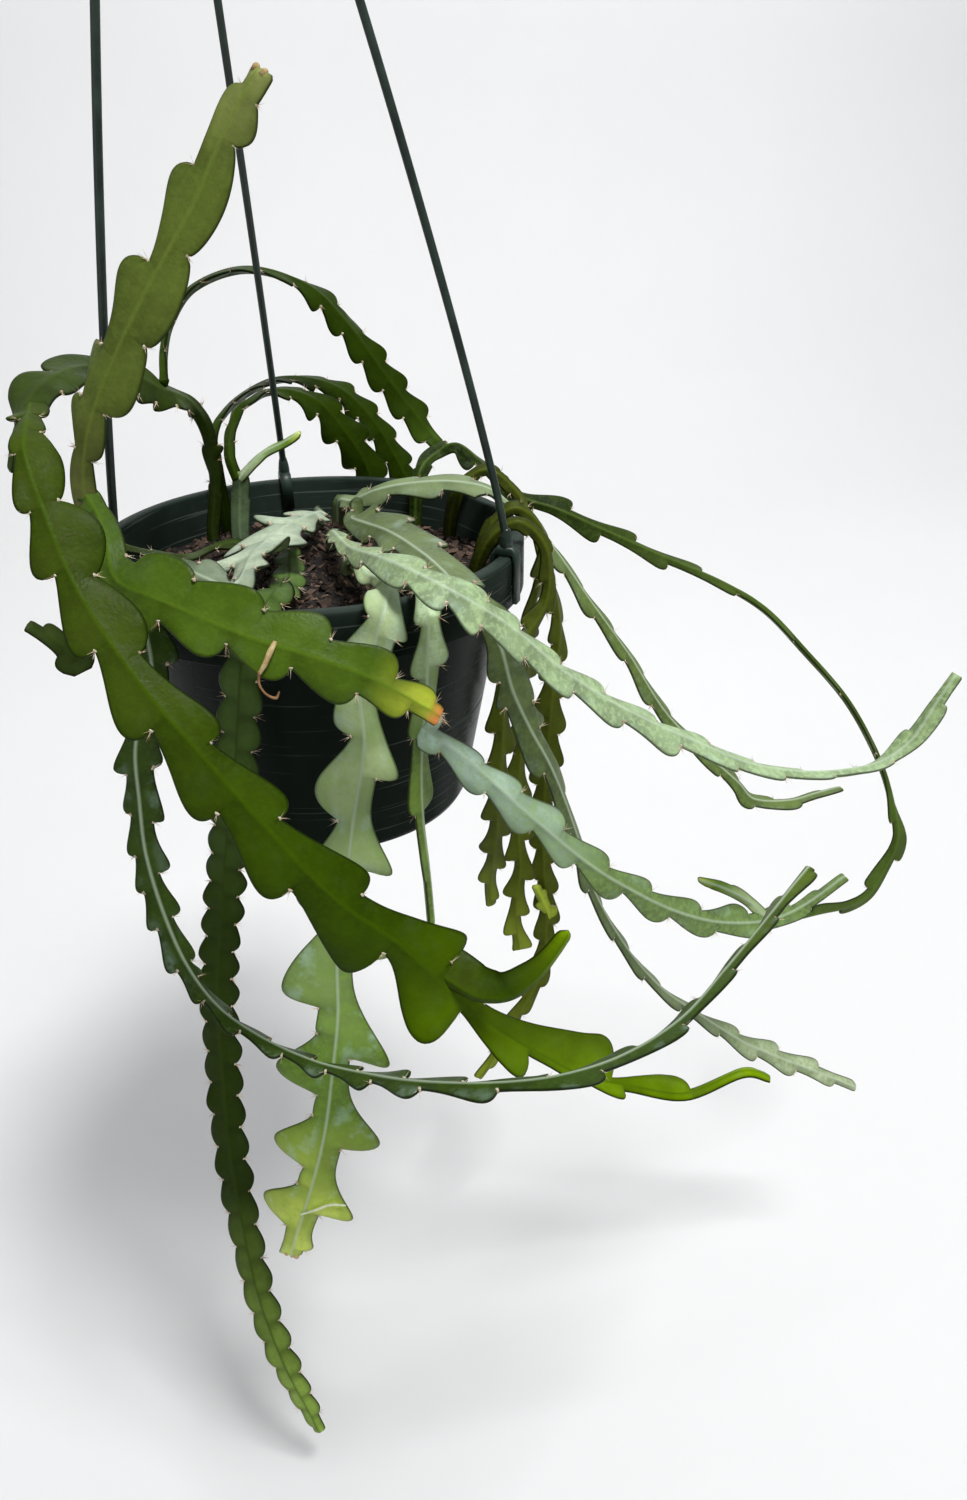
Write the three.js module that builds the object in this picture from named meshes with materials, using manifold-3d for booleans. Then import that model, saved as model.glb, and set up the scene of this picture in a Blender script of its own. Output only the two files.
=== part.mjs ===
import * as THREE from 'three';
import Module from 'manifold-3d';
import { mergeVertices } from 'three/addons/utils/BufferGeometryUtils.js';

// Fishbone cactus in a hanging pot, in millimetres, +Z up.
// Everything is laid out about the centre of the pot's rim, then moved so that
// the inner top of the hanger's hook is the origin.

const wasm = await Module();
wasm.setup();

// Pot
const RIM_RADIUS = 101.5;
const LIP_INNER_RADIUS = 94.6;
const SKIRT_HEIGHT = 24;
const SKIRT_WALL = 1.8;
const BODY_TOP_RADIUS = 96.8;
const BASE_RADIUS = 72.6;
const POT_HEIGHT = 137;
const FLOOR_THICKNESS = 2.5;
const FLOOR_RADIUS = 70.8;
const ROUND_STEPS = 48;
const DRAIN_HOLES = 5;
const DRAIN_RADIUS = 4;
const DRAIN_CIRCLE = 48;

// Soil
const SOIL_TOP = -17.5;
const SOIL_EDGE = -22;
const SEAT_GAP = 0.35;
const SOCKET_GAP = 0.45;
const ROOT_DEPTH = -27;
const ROOT_GAP = 0.5;

// Hanger
const HOOK_TOP = new THREE.Vector3(-28, 0, 440);
const STRANDS_MEET = new THREE.Vector3(-28, 0, 420);
const HOOK_INNER_RADIUS = 15;
const HOOK_ROD_RADIUS = 2.5;
const HUB_BOTTOM = 382;
const HUB_TOP = 397;
const HUB_RADIUS = 15;
const SOCKET_DEPTH = 7;
const STRAND_RADIUS = 1.75;
const STRAND_BOW = 5;
const STRAND_AZIMUTHS = { strand_left: 214, strand_back: 97, strand_right: 331 };
const CLIP_WIDTH = 6;
const CLIP_THICKNESS = 2.2;

// Stems
const VIEW_FACE = new THREE.Vector3(-0.15, -0.85, 0.5).normalize();
const SAMPLES_PER_SPAN = 24;
const EDGE_HALF = 0.6;
const ROUND_EDGE_HALF = 1.4;
const RIB_HALF = 2;
const ROOT_REACH = 3;
const BLADE_REACH = 8;
const LEAST_REACH = 2.5;
const LOBE_ROOM = 6;
const RIB_STEP = 0.5;
const LOBE_STEPS = {
  3: [0, 0.42, 0.8],
  4: [0, 0.36, 0.7, 0.88],
  5: [0, 0.3, 0.56, 0.76, 0.88],
};

const COLOURS = {
  pot: 0x10201a,
  soil: 0x2b1d1c,
  hanger: 0x14261d,
  mid: 0x6f8f45,
  olive: 0x6a7a3c,
  bright: 0x86a93c,
  dusty: 0x7f9a72,
  dark: 0x3f5a34,
};

// Each branch is one leafy stem. A point is [x, y, z, turn in degrees, reach of the lobes].
const STEMS = [
  {
    name: 'stem_arch_left',
    colour: 'mid',
    branches: [
      {
        pitch: [26],
        phase: 0,
        offset: [0.5, 0.5],
        notch: 0.45,
        peak: [0.7, 0.7],
        lean: 0.1,
        left: [
          [60, 3, 3.2], [84, 3.5, 6], [96, 5, 8], [108, 6.5, 9.5], [120, 7.5, 10.5], [133, 8, 11],
          [146, 8, 10.5], [160, 8, 9.5], [190, 8, 8.5], [206, 5, 5], [218, 3, 4],
        ],
        right: [
          [60, 3, 3.2], [84, 3.5, 8], [150, 7, 12, 0.6], [178, 4, 15, 0.25], [212, 2.5, 3],
        ],
        steps: 4,
        points: [
          [-51, 60, -27, 0, 3], [-51, 60, -16, 0, 3], [-47, 58, 5, 0, 3.5], [-46, 55, 19, 0, 4],
          [-46, 48, 39, -20, 5], [-51, 33, 55, -25, 8], [-62, 14, 66, -15, 10],
          [-74, -4, 77, -10, 11], [-87, -22, 82, -5, 11.5], [-95, -40, 82, -5, 10],
          [-102, -52, 77, -20, 6], [-108, -60, 67, -50, 4.5], [-113, -64, 52, -60, 3],
        ],
      },
      {
        pitch: [26, 32, 38, 42, 46, 52],
        phase: 0.9,
        offset: [-0.38, 1],
        notch: 0.3,
        peak: [0.72, 0.72],
        lean: 0.12,
        full: 0.7,
        fold: [[300, 0.0], [330, 0.55], [410, 0.5], [440, 0.1]],
        left: [
          [12, 4, 6.5], [24, 5, 12, 0.42], [57, 6, 17, 0.36], [88, 7.5, 14.5, 0.5], [122, 6, 12],
          [164, 5, 12], [201, 5.5, 15], [245, 7, 19.5, 0.84], [292, 8.5, 10], [318, 5, 17],
          [404, 2.5, 10.5], [449, 1.5, 3],
        ],
        right: [
          [12, 3, 5], [37, 3, 8.5], [59, 4.5, 11], [83, 4.5, 13], [113, 6, 16], [147, 7.5, 18.5],
          [185, 10, 19], [224, 9.5, 22], [267, 6.5, 22.5], [311, 3, 14], [352, 2, 3],
          [386, 1.5, 7.5], [410, 1.5, 2.5], [449, 1.5, 2],
        ],
        steps: 5,
        points: [
          [-102, -56, 75, 0, 5], [-101, -78, 71, 20, 9], [-100, -92, 65, 25, 14],
          [-94, -106, 46, 25, 17], [-87, -118, 27, 20, 17], [-77, -130, 10, 15, 17],
          [-60, -146, -13, 10, 17], [-47, -155, -28, 0, 18], [-25, -168, -56, 0, 20],
          [-2, -177, -85, 0, 21], [20, -181, -106, 5, 22], [35, -182, -127, 5, 20],
          [46, -182, -142, 15, 12], [61, -181, -160, 30, 16], [79, -179, -179, 35, 17],
          [96, -177, -195, 40, 12], [120, -174, -209, 45, 9], [148, -172, -221, 50, 8],
          [176, -170, -214, 60, 4], [190, -168, -222, 60, 2],
        ],
      },
      {
        pitch: [120],
        phase: 0,
        offset: [0.5, 0.5],
        notch: 0.9,
        peak: [0.5, 0.5],
        lean: 0,
        points: [
          [30, -178, -120, 0, 5], [39, -182, -126, -5, 10], [49, -188, -130, -10, 12.5],
          [60, -193, -127, -15, 12], [70, -196, -116, -20, 9], [76, -197, -106, -25, 5],
          [82, -197, -95, -25, 1.5],
        ],
      },
      {
        pitch: [19],
        phase: 0,
        offset: [0.5, 0.5],
        notch: 0.6,
        peak: [0.65, 0.65],
        lean: 0.1,
        points: [
          [-60, 17, 68, 30, 3], [-60, 36, 79, 60, 3], [-57, 56, 89, 60, 3.5],
          [-46, 80, 101, 60, 5], [-19, 104, 106, 60, 9], [10, 114, 95, 50, 11],
          [28, 119, 76, 40, 11], [45, 121, 52, 30, 11], [69, 120, 18, 30, 11],
          [76, 116, 10, 30, 5],
        ],
      },
    ],
  },
  {
    name: 'stem_upright',
    colour: 'bright',
    branches: [
      {
        pitch: [36],
        phase: 0.42,
        offset: [0.58, 0.58],
        notch: 0.4,
        peak: [0.35, 0.75],
        lean: 0.05,
        full: 0.68,
        left: [
          [62, 3.5, 6], [100, 5, 13], [119, 8.5, 15], [140, 8, 13.5], [176, 5, 13.5],
          [213, 6, 8.5], [243, 3.5, 3.5],
        ],
        right: [
          [62, 3.5, 4.5], [97, 2.5, 7], [118, 4, 14.5], [150, 8, 14], [186, 6, 10], [225, 4, 8.5],
          [240, 5, 6],
        ],
        steps: 5,
        points: [
          [-77, -34, -27, 0, 3.5], [-77, -34, -14, 0, 3.5], [-83, -37, 2, 0, 3.5],
          [-91, -43, 12, 0, 4], [-88, -62, 33, 0, 4.5], [-86, -64, 49, 0, 7],
          [-82, -65, 63, 10, 12], [-74, -67, 80, 10, 14], [-63, -70, 98, 5, 15],
          [-51, -72, 116, 0, 15.5], [-39, -73, 132, 0, 14], [-29, -73, 146, 0, 13],
          [-20, -73, 161, 0, 11.5], [-11, -72, 174, 10, 9], [-3, -71, 185, 10, 4],
        ],
      },
      {
        pitch: [27],
        phase: 0.1,
        offset: [0.2, 0.2],
        notch: 0.5,
        peak: [0.62, 0.62],
        lean: 0.1,
        full: 0.72,
        left: [
          [10, 4, 6], [35, 6, 17], [75, 11.5, 17], [105, 11, 16], [132, 8, 12], [159, 4, 7.5],
          [177, 4, 4],
        ],
        right: [
          [10, 4, 7], [44, 7, 14], [68, 7.5, 13.5], [96, 5.5, 13], [121, 6.5, 14], [148, 7.5, 9.5],
          [169, 4, 4],
        ],
        steps: 5,
        points: [
          [-87, -63, 42, 0, 4], [-82, -72, 36, 0, 6], [-78, -86, 28, 0, 11], [-75, -97, 18, 0, 15],
          [-61, -108, 14, 0, 17], [-44, -118, 9, 0, 17], [-28, -125, 3, 0, 17],
          [-6, -131, -4, 0, 16], [16, -135, -13, 0, 13], [32, -138, -23, 0, 10],
          [43, -139, -31, 0, 4],
        ],
      },
    ],
  },
  {
    name: 'stem_back_arch',
    colour: 'mid',
    branches: [
      {
        pitch: [17],
        phase: 0,
        offset: [0.5, 0.5],
        notch: 0.6,
        peak: [0.7, 0.7],
        lean: 0.1,
        points: [
          [-44, 71, -27, 0, 3], [-44, 71, -16, 0, 3], [-46, 74, 14, 0, 3], [-46, 80, 30, 30, 3.5],
          [-40, 98, 37, 60, 5], [-28, 122, 42, 65, 8], [-13, 138, 45, 60, 9], [4, 147, 43, 50, 10],
          [24, 151, 35, 40, 11], [43, 154, 14, 30, 11], [56, 153, -10, 20, 10],
          [66, 148, -30, 0, 9], [73, 140, -66, 0, 4],
        ],
      },
    ],
  },
  {
    name: 'stem_back_stub',
    colour: 'olive',
    branches: [
      {
        pitch: [14],
        phase: 0,
        offset: [0.5, 0.5],
        notch: 0.8,
        peak: [0.6, 0.6],
        lean: 0,
        rib: 1.6,
        points: [
          [-37, 60, -27, 0, 4.5], [-37, 60, -16, 0, 4.5], [-35, 60, 1, 0, 5],
          [-33, 58, 16, 0, 4.5],
        ],
      },
      {
        pitch: [20],
        phase: 0,
        offset: [0.5, 0.5],
        notch: 0.55,
        peak: [0.7, 0.7],
        lean: 0.1,
        points: [
          [-35, 58, 12, 0, 2.5], [-38, 64, 23, 0, 2.5], [-33, 80, 40, 30, 4], [-25, 92, 44, 50, 6],
          [-16, 106, 45, 50, 8], [-1, 112, 42, 40, 10], [12, 115, 34, 30, 11],
          [24, 114, 19, 15, 12], [35, 114, -2, 5, 11], [36, 113, -28, 0, 9], [42, 112, -62, 0, 4],
        ],
      },
      {
        pitch: [20],
        phase: 0,
        offset: [0.5, 0.5],
        notch: 0.7,
        peak: [0.7, 0.7],
        lean: 0.1,
        rib: 1.6,
        points: [
          [-34, 58, 12, 0, 2], [-21, 56, 24, 30, 3], [-9, 54, 30, 30, 3], [-1, 52, 35, 30, 1.5],
        ],
      },
    ],
  },
  {
    name: 'stem_left_short',
    colour: 'olive',
    branches: [
      {
        pitch: [24],
        phase: 0,
        offset: [0.5, 0.5],
        notch: 0.55,
        peak: [0.7, 0.7],
        lean: 0.1,
        rib: 1.6,
        points: [
          [-36, 38, -27, 0, 2.5], [-36, 38, -17, 0, 2.5], [-45, 25, -12, -30, 4],
          [-60, 0, -8, -60, 7], [-75, -9, -2, -60, 8], [-86, -20, 6, -60, 7],
          [-103, -15, 9, -60, 6], [-111, -22, 0, -30, 6], [-106, -32, -19, -20, 7],
          [-105, -40, -31, -20, 8], [-107, -46, -36, -30, 8], [-113, -50, -27, -40, 8.5],
          [-123, -54, -15, -40, 3],
        ],
      },
    ],
  },
  {
    name: 'stem_left_long',
    colour: 'dusty',
    branches: [
      {
        pitch: [17, 19, 19, 19, 24, 34, 44, 44],
        phase: 0.2,
        offset: [0.5, 0.5],
        notch: 0.35,
        peak: [0.76, 0.76],
        lean: 0.12,
        full: 0.75,
        left: [
          [40, 4, 10], [66, 6, 18], [108, 8, 19], [132, 6, 9.5], [151, 4.5, 7], [172, 4.5, 7],
          [195, 5.5, 9], [218, 5.5, 10], [240, 5.5, 10], [262, 6, 9.5], [288, 6.5, 9.5],
          [314, 4.5, 8], [339, 3, 7], [361, 3, 7], [383, 3.5, 7],
        ],
        right: [
          [28, 5, 12], [50, 6, 18.5], [71, 9, 23], [101, 11.5, 23], [126, 10, 13.5], [146, 6, 11],
          [168, 5, 10], [190, 5.5, 10], [212, 5.5, 10], [234, 5.5, 10], [255, 5, 9.5],
          [273, 4.5, 9.5], [292, 4.5, 8], [311, 4.5, 8], [330, 5, 8], [347, 5, 8], [364, 4.5, 8],
          [384, 4.5, 7],
        ],
        steps: 4,
        points: [
          [-1, 54, -27, 0, 3], [-1, 54, -17, 0, 3], [5, 46, -6, -10, 5], [-5, 19, 0, -12, 12],
          [-15, -7, 3, -15, 16], [-25, -45, 6, -20, 18], [-34, -93, 10, -25, 17],
          [-55, -82, 14, -25, 12], [-66, -95, 6, 0, 9], [-67, -101, -20, 0, 10],
          [-74, -101, -39, 0, 10], [-79, -101, -55, 0, 10], [-81, -102, -78, 0, 10],
          [-82, -105, -102, 0, 9.5], [-79, -111, -130, 20, 9], [-72, -122, -153, 50, 8],
          [-60, -136, -167, 72, 7], [-43, -152, -172, 78, 7], [-20, -172, -171, 80, 7],
          [4, -196, -159, 80, 7.5], [25, -220, -142, 80, 8], [49, -236, -130, 80, 8],
          [69, -242, -124, 78, 8], [92, -238, -123, 78, 7], [120, -222, -125, 80, 6],
          [151, -192, -129, 80, 5], [181, -162, -131, 80, 5], [202, -140, -133, 70, 7],
          [215, -128, -132, 60, 3],
        ],
      },
    ],
  },
  {
    name: 'stem_front_fine',
    colour: 'dark',
    branches: [
      {
        pitch: [19, 19, 19, 18, 15, 16, 18.5, 20, 22, 19.5, 17],
        phase: 0.6,
        offset: [0.4, 0.4],
        notch: 0.66,
        peak: [0.57, 0.57],
        lean: 0.06,
        full: 0.8,
        points: [
          [-13, 18, -27, 0, 3], [-13, 18, -15, 0, 3], [-12, 7, -10, 20, 5], [-12, -34, -10, 20, 8],
          [-15, -64, -6, 20, 7], [-17, -92, 6, 10, 7], [-25, -110, 0, 0, 8.5],
          [-31, -112, -15, 0, 9], [-35, -108, -37, 0, 9.2], [-41, -104, -71, 0, 9.2],
          [-48, -101, -103, 0, 9.2], [-54, -100, -136, 0, 9.2], [-62, -101, -181, 0, 9.2],
          [-66, -104, -230, 0, 9.2], [-68, -112, -277, 0, 9], [-67, -121, -319, 0, 8.8],
          [-63, -134, -372, 0, 8.4], [-54, -144, -421, 0, 8], [-45, -148, -458, 0, 6.5],
          [-40, -150, -480, 0, 3],
        ],
      },
    ],
  },
  {
    name: 'stem_front_broad',
    colour: 'bright',
    branches: [
      {
        pitch: [42, 42, 48, 48, 36],
        phase: 0.5,
        offset: [0.6, 0.6],
        notch: 0.2,
        peak: [0.62, 0.84],
        lean: 0.12,
        full: 1,
        left: [
          [80, 3, 5], [105, 4, 10.8], [128, 7, 12], [153, 6, 14.5], [191, 6, 19], [234, 5, 23],
          [278, 6, 25], [327, 6.5, 25.5], [377, 8.5, 23], [416, 7, 9], [440, 5, 4],
        ],
        right: [
          [68, 3, 4], [90, 3, 8.8], [122, 5.5, 12], [146, 6, 12], [173, 5.5, 19], [213, 6.5, 22],
          [262, 7, 25], [303, 9, 9.5], [316, 9, 27], [349, 6, 7], [361, 7, 23.5], [392, 6, 7],
          [402, 7, 21.5], [428, 6, 6],
        ],
        steps: 5,
        points: [
          [15, -10, -27, 0, 3], [15, -10, -15, 0, 3], [18, -20, -8, 20, 3.5], [23, -44, -7, 20, 5],
          [27, -76, 2, 10, 6], [28, -99, 6, 10, 6], [25, -111, 1, 0, 8], [21, -113, -10, 0, 11],
          [14, -114, -29, 0, 15], [14, -116, -53, 0, 16], [7, -120, -87, 0, 18],
          [1, -125, -119, 0, 21], [-5, -132, -151, 0, 24], [-7, -138, -178, 0, 26],
          [-12, -144, -207, 0, 27], [-18, -148, -239, 0, 25], [-26, -152, -267, 0, 22],
          [-36, -156, -296, 0, 14], [-41, -157, -312, 0, 6],
        ],
      },
    ],
  },
  {
    name: 'stem_front_thin',
    colour: 'dusty',
    branches: [
      {
        pitch: [30, 40, 50, 70],
        phase: 0.25,
        offset: [0.5, 0.5],
        notch: 0.5,
        peak: [0.75, 0.75],
        lean: 0.1,
        left: [
          [62, 3, 4.5], [84, 3, 5], [98, 4, 8.6], [119, 5, 6.5], [150, 4, 9.5], [190, 3, 4],
          [225, 2.5, 3],
        ],
        right: [
          [62, 3, 4.5], [84, 3, 5.8], [101, 3, 6.6], [125, 3, 6.5], [153, 4, 6.9], [190, 3, 4],
          [225, 2.5, 3],
        ],
        points: [
          [32, -32, -27, 0, 2.5], [32, -32, -15, 0, 2.5], [34, -41, -8, 0, 3], [39, -60, -6, 0, 4],
          [42, -80, 3, 0, 3.5], [42, -98, 6, 0, 4.6], [43, -108, -2, 0, 6.5],
          [42, -108, -19, 10, 7.5], [40, -106, -40, 40, 8], [37, -106, -66, 50, 7],
          [36, -108, -96, 60, 7], [38, -110, -129, 75, 5], [39, -111, -155, 75, 3],
        ],
      },
      {
        pitch: [31],
        phase: 0.43,
        offset: [0.33, 0.33],
        notch: 0.55,
        peak: [0.68, 0.68],
        lean: 0.1,
        full: 0.75,
        left: [
          [6, 3, 5], [30, 3, 7.5], [51, 5, 10], [80, 4.5, 8], [115, 3.5, 7.5], [146, 3.5, 7.5],
          [184, 3.5, 9], [220, 4, 7], [252, 3, 4],
        ],
        right: [
          [12, 4, 10], [39, 5.5, 10], [67, 4, 9], [97, 3.5, 9.5], [130, 3, 9], [164, 3.5, 9],
          [198, 5, 8], [233, 4.5, 5],
        ],
        steps: 4,
        points: [
          [39, -106, -52, 0, 4], [44, -109, -56, 0, 8], [58, -116, -66, 0, 9.5],
          [75, -122, -83, 0, 10], [93, -122, -103, 0, 10.5], [112, -119, -124, 0, 10.5],
          [132, -116, -142, 0, 10.5], [158, -110, -163, 0, 10], [186, -102, -180, 0, 9],
          [218, -92, -191, 15, 7], [240, -84, -191, 30, 5], [265, -76, -181, 30, 2],
        ],
      },
      {
        pitch: [30],
        phase: 0,
        offset: [0.5, 0.5],
        notch: 0.6,
        peak: [0.75, 0.75],
        lean: 0.1,
        rib: 1.6,
        points: [
          [216, -92, -190, 0, 2], [203, -90, -177, 0, 3.5], [189, -89, -168, 0, 2.5],
          [177, -88, -163, 0, 1],
        ],
      },
    ],
  },
  {
    name: 'stem_right_broad',
    colour: 'dusty',
    branches: [
      {
        pitch: [40, 44, 44, 44, 40, 36, 32],
        phase: 0.4,
        offset: [0.5, 0.5],
        notch: 0.5,
        peak: [0.75, 0.75],
        lean: 0.1,
        full: 0.7,
        left: [
          [33, 4, 12], [58, 9.5, 14.4], [86, 11, 14], [128, 9.5, 15.6], [165, 8.5, 12],
          [200, 6.5, 9.5], [239, 7, 9],
        ],
        right: [
          [35, 4, 9], [73, 6, 10.6], [108, 6, 8], [135, 4.5, 6], [160, 4, 6], [187, 3.5, 8],
          [218, 4, 8.5],
        ],
        steps: 4,
        points: [
          [22, 50, -27, 0, 3], [22, 50, -15, 0, 3], [26, 40, -7, 50, 7], [21, 27, -3, 15, 9],
          [35, -11, 2, 15, 14], [45, -52, 6, 20, 14], [51, -75, 6, 28, 12], [55, -87, 4, 30, 10],
          [59, -98, 1, 25, 9], [64, -105, -4, 20, 10], [72, -104, -18, 10, 11],
          [79, -98, -43, 10, 11], [88, -92, -66, 20, 10], [97, -88, -86, 40, 9],
          [105, -84, -107, 50, 8], [116, -78, -141, 60, 7], [127, -72, -177, 60, 7],
          [149, -66, -223, 60, 6], [173, -62, -259, 60, 6], [200, -60, -286, 50, 5],
          [231, -58, -314, 30, 8], [264, -56, -337, 20, 8], [290, -56, -353, 10, 6],
          [313, -56, -368, 10, 2],
        ],
      },
    ],
  },
  {
    name: 'stem_right_long',
    colour: 'dusty',
    branches: [
      {
        pitch: [34, 34, 30, 27, 27, 40],
        phase: 0.1,
        offset: [0.5, 0.5],
        notch: 0.6,
        peak: [0.72, 0.72],
        lean: 0.12,
        full: 0.7,
        left: [
          [55, 2.5, 4.5], [92, 2.5, 5], [128, 2.5, 7], [165, 4, 9.7], [196, 5, 7.4], [214, 2.5, 6],
          [238, 2.5, 7.5], [264, 3.5, 8], [294, 3.5, 8],
        ],
        right: [
          [55, 3, 5], [85, 3.5, 7.1], [118, 4.3, 8.2], [163, 5, 10], [181, 5, 11.4],
          [196, 6.5, 10.5], [221, 6.4, 9.6], [248, 5, 9], [275, 5.5, 10], [306, 5, 8],
        ],
        points: [
          [10, 29, -27, 0, 3], [10, 29, -15, 0, 3], [10, 18, -7, 30, 4], [17, -39, 4, 10, 6],
          [28, -90, 16, 12, 7], [38, -113, 18, 18, 8.5], [48, -123, 15, 25, 9.5],
          [62, -125, 6, 30, 10], [77, -122, -7, 30, 9.5], [93, -121, -23, 30, 9],
          [114, -120, -40, 40, 8.5], [138, -118, -56, 45, 8.5], [160, -116, -69, 50, 8],
          [185, -113, -83, 55, 7], [213, -110, -92, 60, 5], [239, -107, -95, 70, 3.5],
          [256, -105, -93, 60, 4], [270, -102, -84, 30, 7], [280, -99, -68, 30, 5],
          [289, -97, -54, 40, 2],
        ],
      },
    ],
  },
  {
    name: 'stem_right_over',
    colour: 'dusty',
    branches: [
      {
        pitch: [28],
        phase: 0.2,
        offset: [0.5, 0.5],
        notch: 0.55,
        peak: [0.7, 0.7],
        lean: 0.1,
        points: [
          [15, 72, -27, 0, 3], [15, 71, -16, 0, 3], [17, 66, -5, 0, 4], [23, 56, -3, 30, 6],
          [35, 45, 5, 35, 8], [54, 37, 10, 35, 9], [73, 32, 11, 35, 9], [88, 26, 9, 40, 8.5],
          [97, 11, 5, 70, 4.5], [107, 1, -2, 70, 4.4], [118, -5, -16, 50, 6.5],
          [134, -10, -40, 55, 7.5], [155, -18, -70, 55, 8], [173, -27, -99, 50, 8],
          [194, -32, -122, 50, 7.5], [215, -36, -142, 50, 7], [224, -38, -152, 50, 7],
          [247, -38, -156, 60, 6], [262, -38, -153, 60, 4], [276, -38, -150, 60, 1.5],
        ],
      },
    ],
  },
  {
    name: 'stem_right_far',
    colour: 'mid',
    branches: [
      {
        pitch: [36, 40, 46, 52, 46],
        phase: 0.2,
        offset: [0.5, 0.5],
        notch: 0.35,
        peak: [0.8, 0.8],
        lean: 0.12,
        steps: 4,
        points: [
          [56, 62, -27, 0, 3], [56, 62, -16, 0, 3], [60, 69, 7, 0, 4], [72, 84, 13, 30, 9],
          [82, 84, 17, 50, 10], [92, 80, 10, 50, 10], [103, 74, -0, 40, 6], [115, 68, -9, 10, 8],
          [134, 62, -15, 10, 9], [158, 56, -26, 20, 8], [192, 50, -42, 30, 7],
          [229, 44, -59, 50, 6], [252, 38, -73, 60, 6], [279, 34, -100, 70, 5],
          [308, 30, -132, 70, 4.5], [327, 26, -161, 70, 4], [338, 22, -183, 60, 4],
          [346, 16, -208, 30, 5], [348, 10, -224, 10, 9], [342, 6, -242, 10, 8],
          [330, 0, -257, 20, 8], [312, -6, -260, 40, 6], [293, -10, -259, 40, 7],
          [276, -14, -258, 40, 3],
        ],
      },
    ],
  },
  {
    name: 'stem_bunch_a',
    colour: 'dark',
    branches: [
      {
        pitch: [27],
        phase: 0,
        offset: [0.5, 0.5],
        notch: 0.4,
        peak: [0.78, 0.78],
        lean: 0.12,
        points: [
          [74, -28, -27, 0, 3], [74, -28, -16, 0, 3], [82, -31, 3, 0, 3.5], [94, -33, 10, 0, 4],
          [106, -35, -2, 20, 4], [106, -38, -28, 30, 6], [84, -58, -50, 30, 7],
          [81, -60, -85, 30, 8], [80, -58, -118, 20, 8], [80, -50, -153, 10, 8],
          [79, -38, -190, 0, 6], [80, -36, -206, 0, 2],
        ],
      },
    ],
  },
  {
    name: 'stem_bunch_b',
    colour: 'dark',
    branches: [
      {
        pitch: [26],
        phase: 0.3,
        offset: [0.5, 0.5],
        notch: 0.35,
        peak: [0.8, 0.8],
        lean: 0.12,
        points: [
          [79, -11, -27, 0, 3], [79, -11, -16, 0, 3], [86, -11, 3, 0, 3.5], [97, -12, 10, 0, 4],
          [109, -13, -2, 50, 5], [106, -6, -50, 50, 7], [105, 4, -95, 40, 8],
          [103, 4, -138, 20, 9], [102, 4, -178, 10, 9], [104, 2, -208, 0, 9], [101, 0, -243, 0, 8],
          [103, -2, -269, 10, 8],
        ],
      },
    ],
  },
  {
    name: 'stem_bunch_c',
    colour: 'dark',
    branches: [
      {
        pitch: [22],
        phase: 0.1,
        offset: [0.5, 0.5],
        notch: 0.5,
        peak: [0.7, 0.7],
        lean: 0.1,
        points: [
          [72, 42, -27, 0, 3], [72, 42, -16, 0, 3], [79, 45, 6, 0, 3.5], [93, 46, 13, 0, 3.5],
          [108, 42, 0, 30, 4], [122, 36, -34, 50, 5], [129, 30, -70, 50, 7],
          [126, 26, -101, 20, 9], [124, 24, -138, 0, 10], [122, 22, -178, 0, 9],
          [122, 20, -220, 0, 8], [124, 16, -263, 0, 8], [119, 10, -302, 10, 7],
          [103, 4, -328, 20, 6], [90, 0, -352, 20, 6], [76, -4, -371, 20, 3],
        ],
      },
      {
        pitch: [16],
        phase: 0,
        offset: [0.5, 0.5],
        notch: 0.5,
        peak: [0.75, 0.75],
        lean: 0.1,
        rib: 1.6,
        points: [
          [124, 16, -269, 0, 3], [125, 16, -257, 0, 6], [120, 15, -244, 0, 5],
          [116, 14, -233, 0, 2],
        ],
      },
    ],
  },
];

// Small helpers

function interpolate(value, from, to) {
  if (value <= from[0]) {
    return to[0];
  }
  let low = 0;
  let high = from.length - 1;
  if (value >= from[high]) {
    return to[high];
  }
  while (high - low > 1) {
    const middle = (low + high) >> 1;
    if (from[middle] <= value) {
      low = middle;
    } else {
      high = middle;
    }
  }
  const share = (value - from[low]) / (from[high] - from[low]);
  return to[low] + share * (to[high] - to[low]);
}

function signedVolume(positions, triangles) {
  const a = new THREE.Vector3();
  const b = new THREE.Vector3();
  const c = new THREE.Vector3();
  let total = 0;
  for (let i = 0; i < triangles.length; i += 3) {
    a.fromArray(positions, triangles[i] * 3);
    b.fromArray(positions, triangles[i + 1] * 3);
    c.fromArray(positions, triangles[i + 2] * 3);
    total += a.dot(b.cross(c));
  }
  return total / 6;
}

function toSolid(positions, triangles) {
  const triVerts = Uint32Array.from(triangles);
  if (signedVolume(positions, triVerts) < 0) {
    for (let i = 0; i < triVerts.length; i += 3) {
      const kept = triVerts[i];
      triVerts[i] = triVerts[i + 1];
      triVerts[i + 1] = kept;
    }
  }
  const vertProperties = Float32Array.from(positions);
  const mesh = new wasm.Mesh({ numProp: 3, vertProperties, triVerts });
  return new wasm.Manifold(mesh);
}

function solidOf(geometry) {
  const plain = geometry.clone();
  plain.deleteAttribute('normal');
  plain.deleteAttribute('uv');
  const merged = mergeVertices(plain, 1e-4);
  return toSolid(merged.attributes.position.array, merged.index.array);
}

function revolve(profile, segments) {
  const points = profile.map(([radius, height]) => new THREE.Vector2(radius, height));
  const geometry = new THREE.LatheGeometry(points, segments);
  geometry.rotateX(Math.PI / 2);
  return solidOf(geometry);
}

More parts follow.
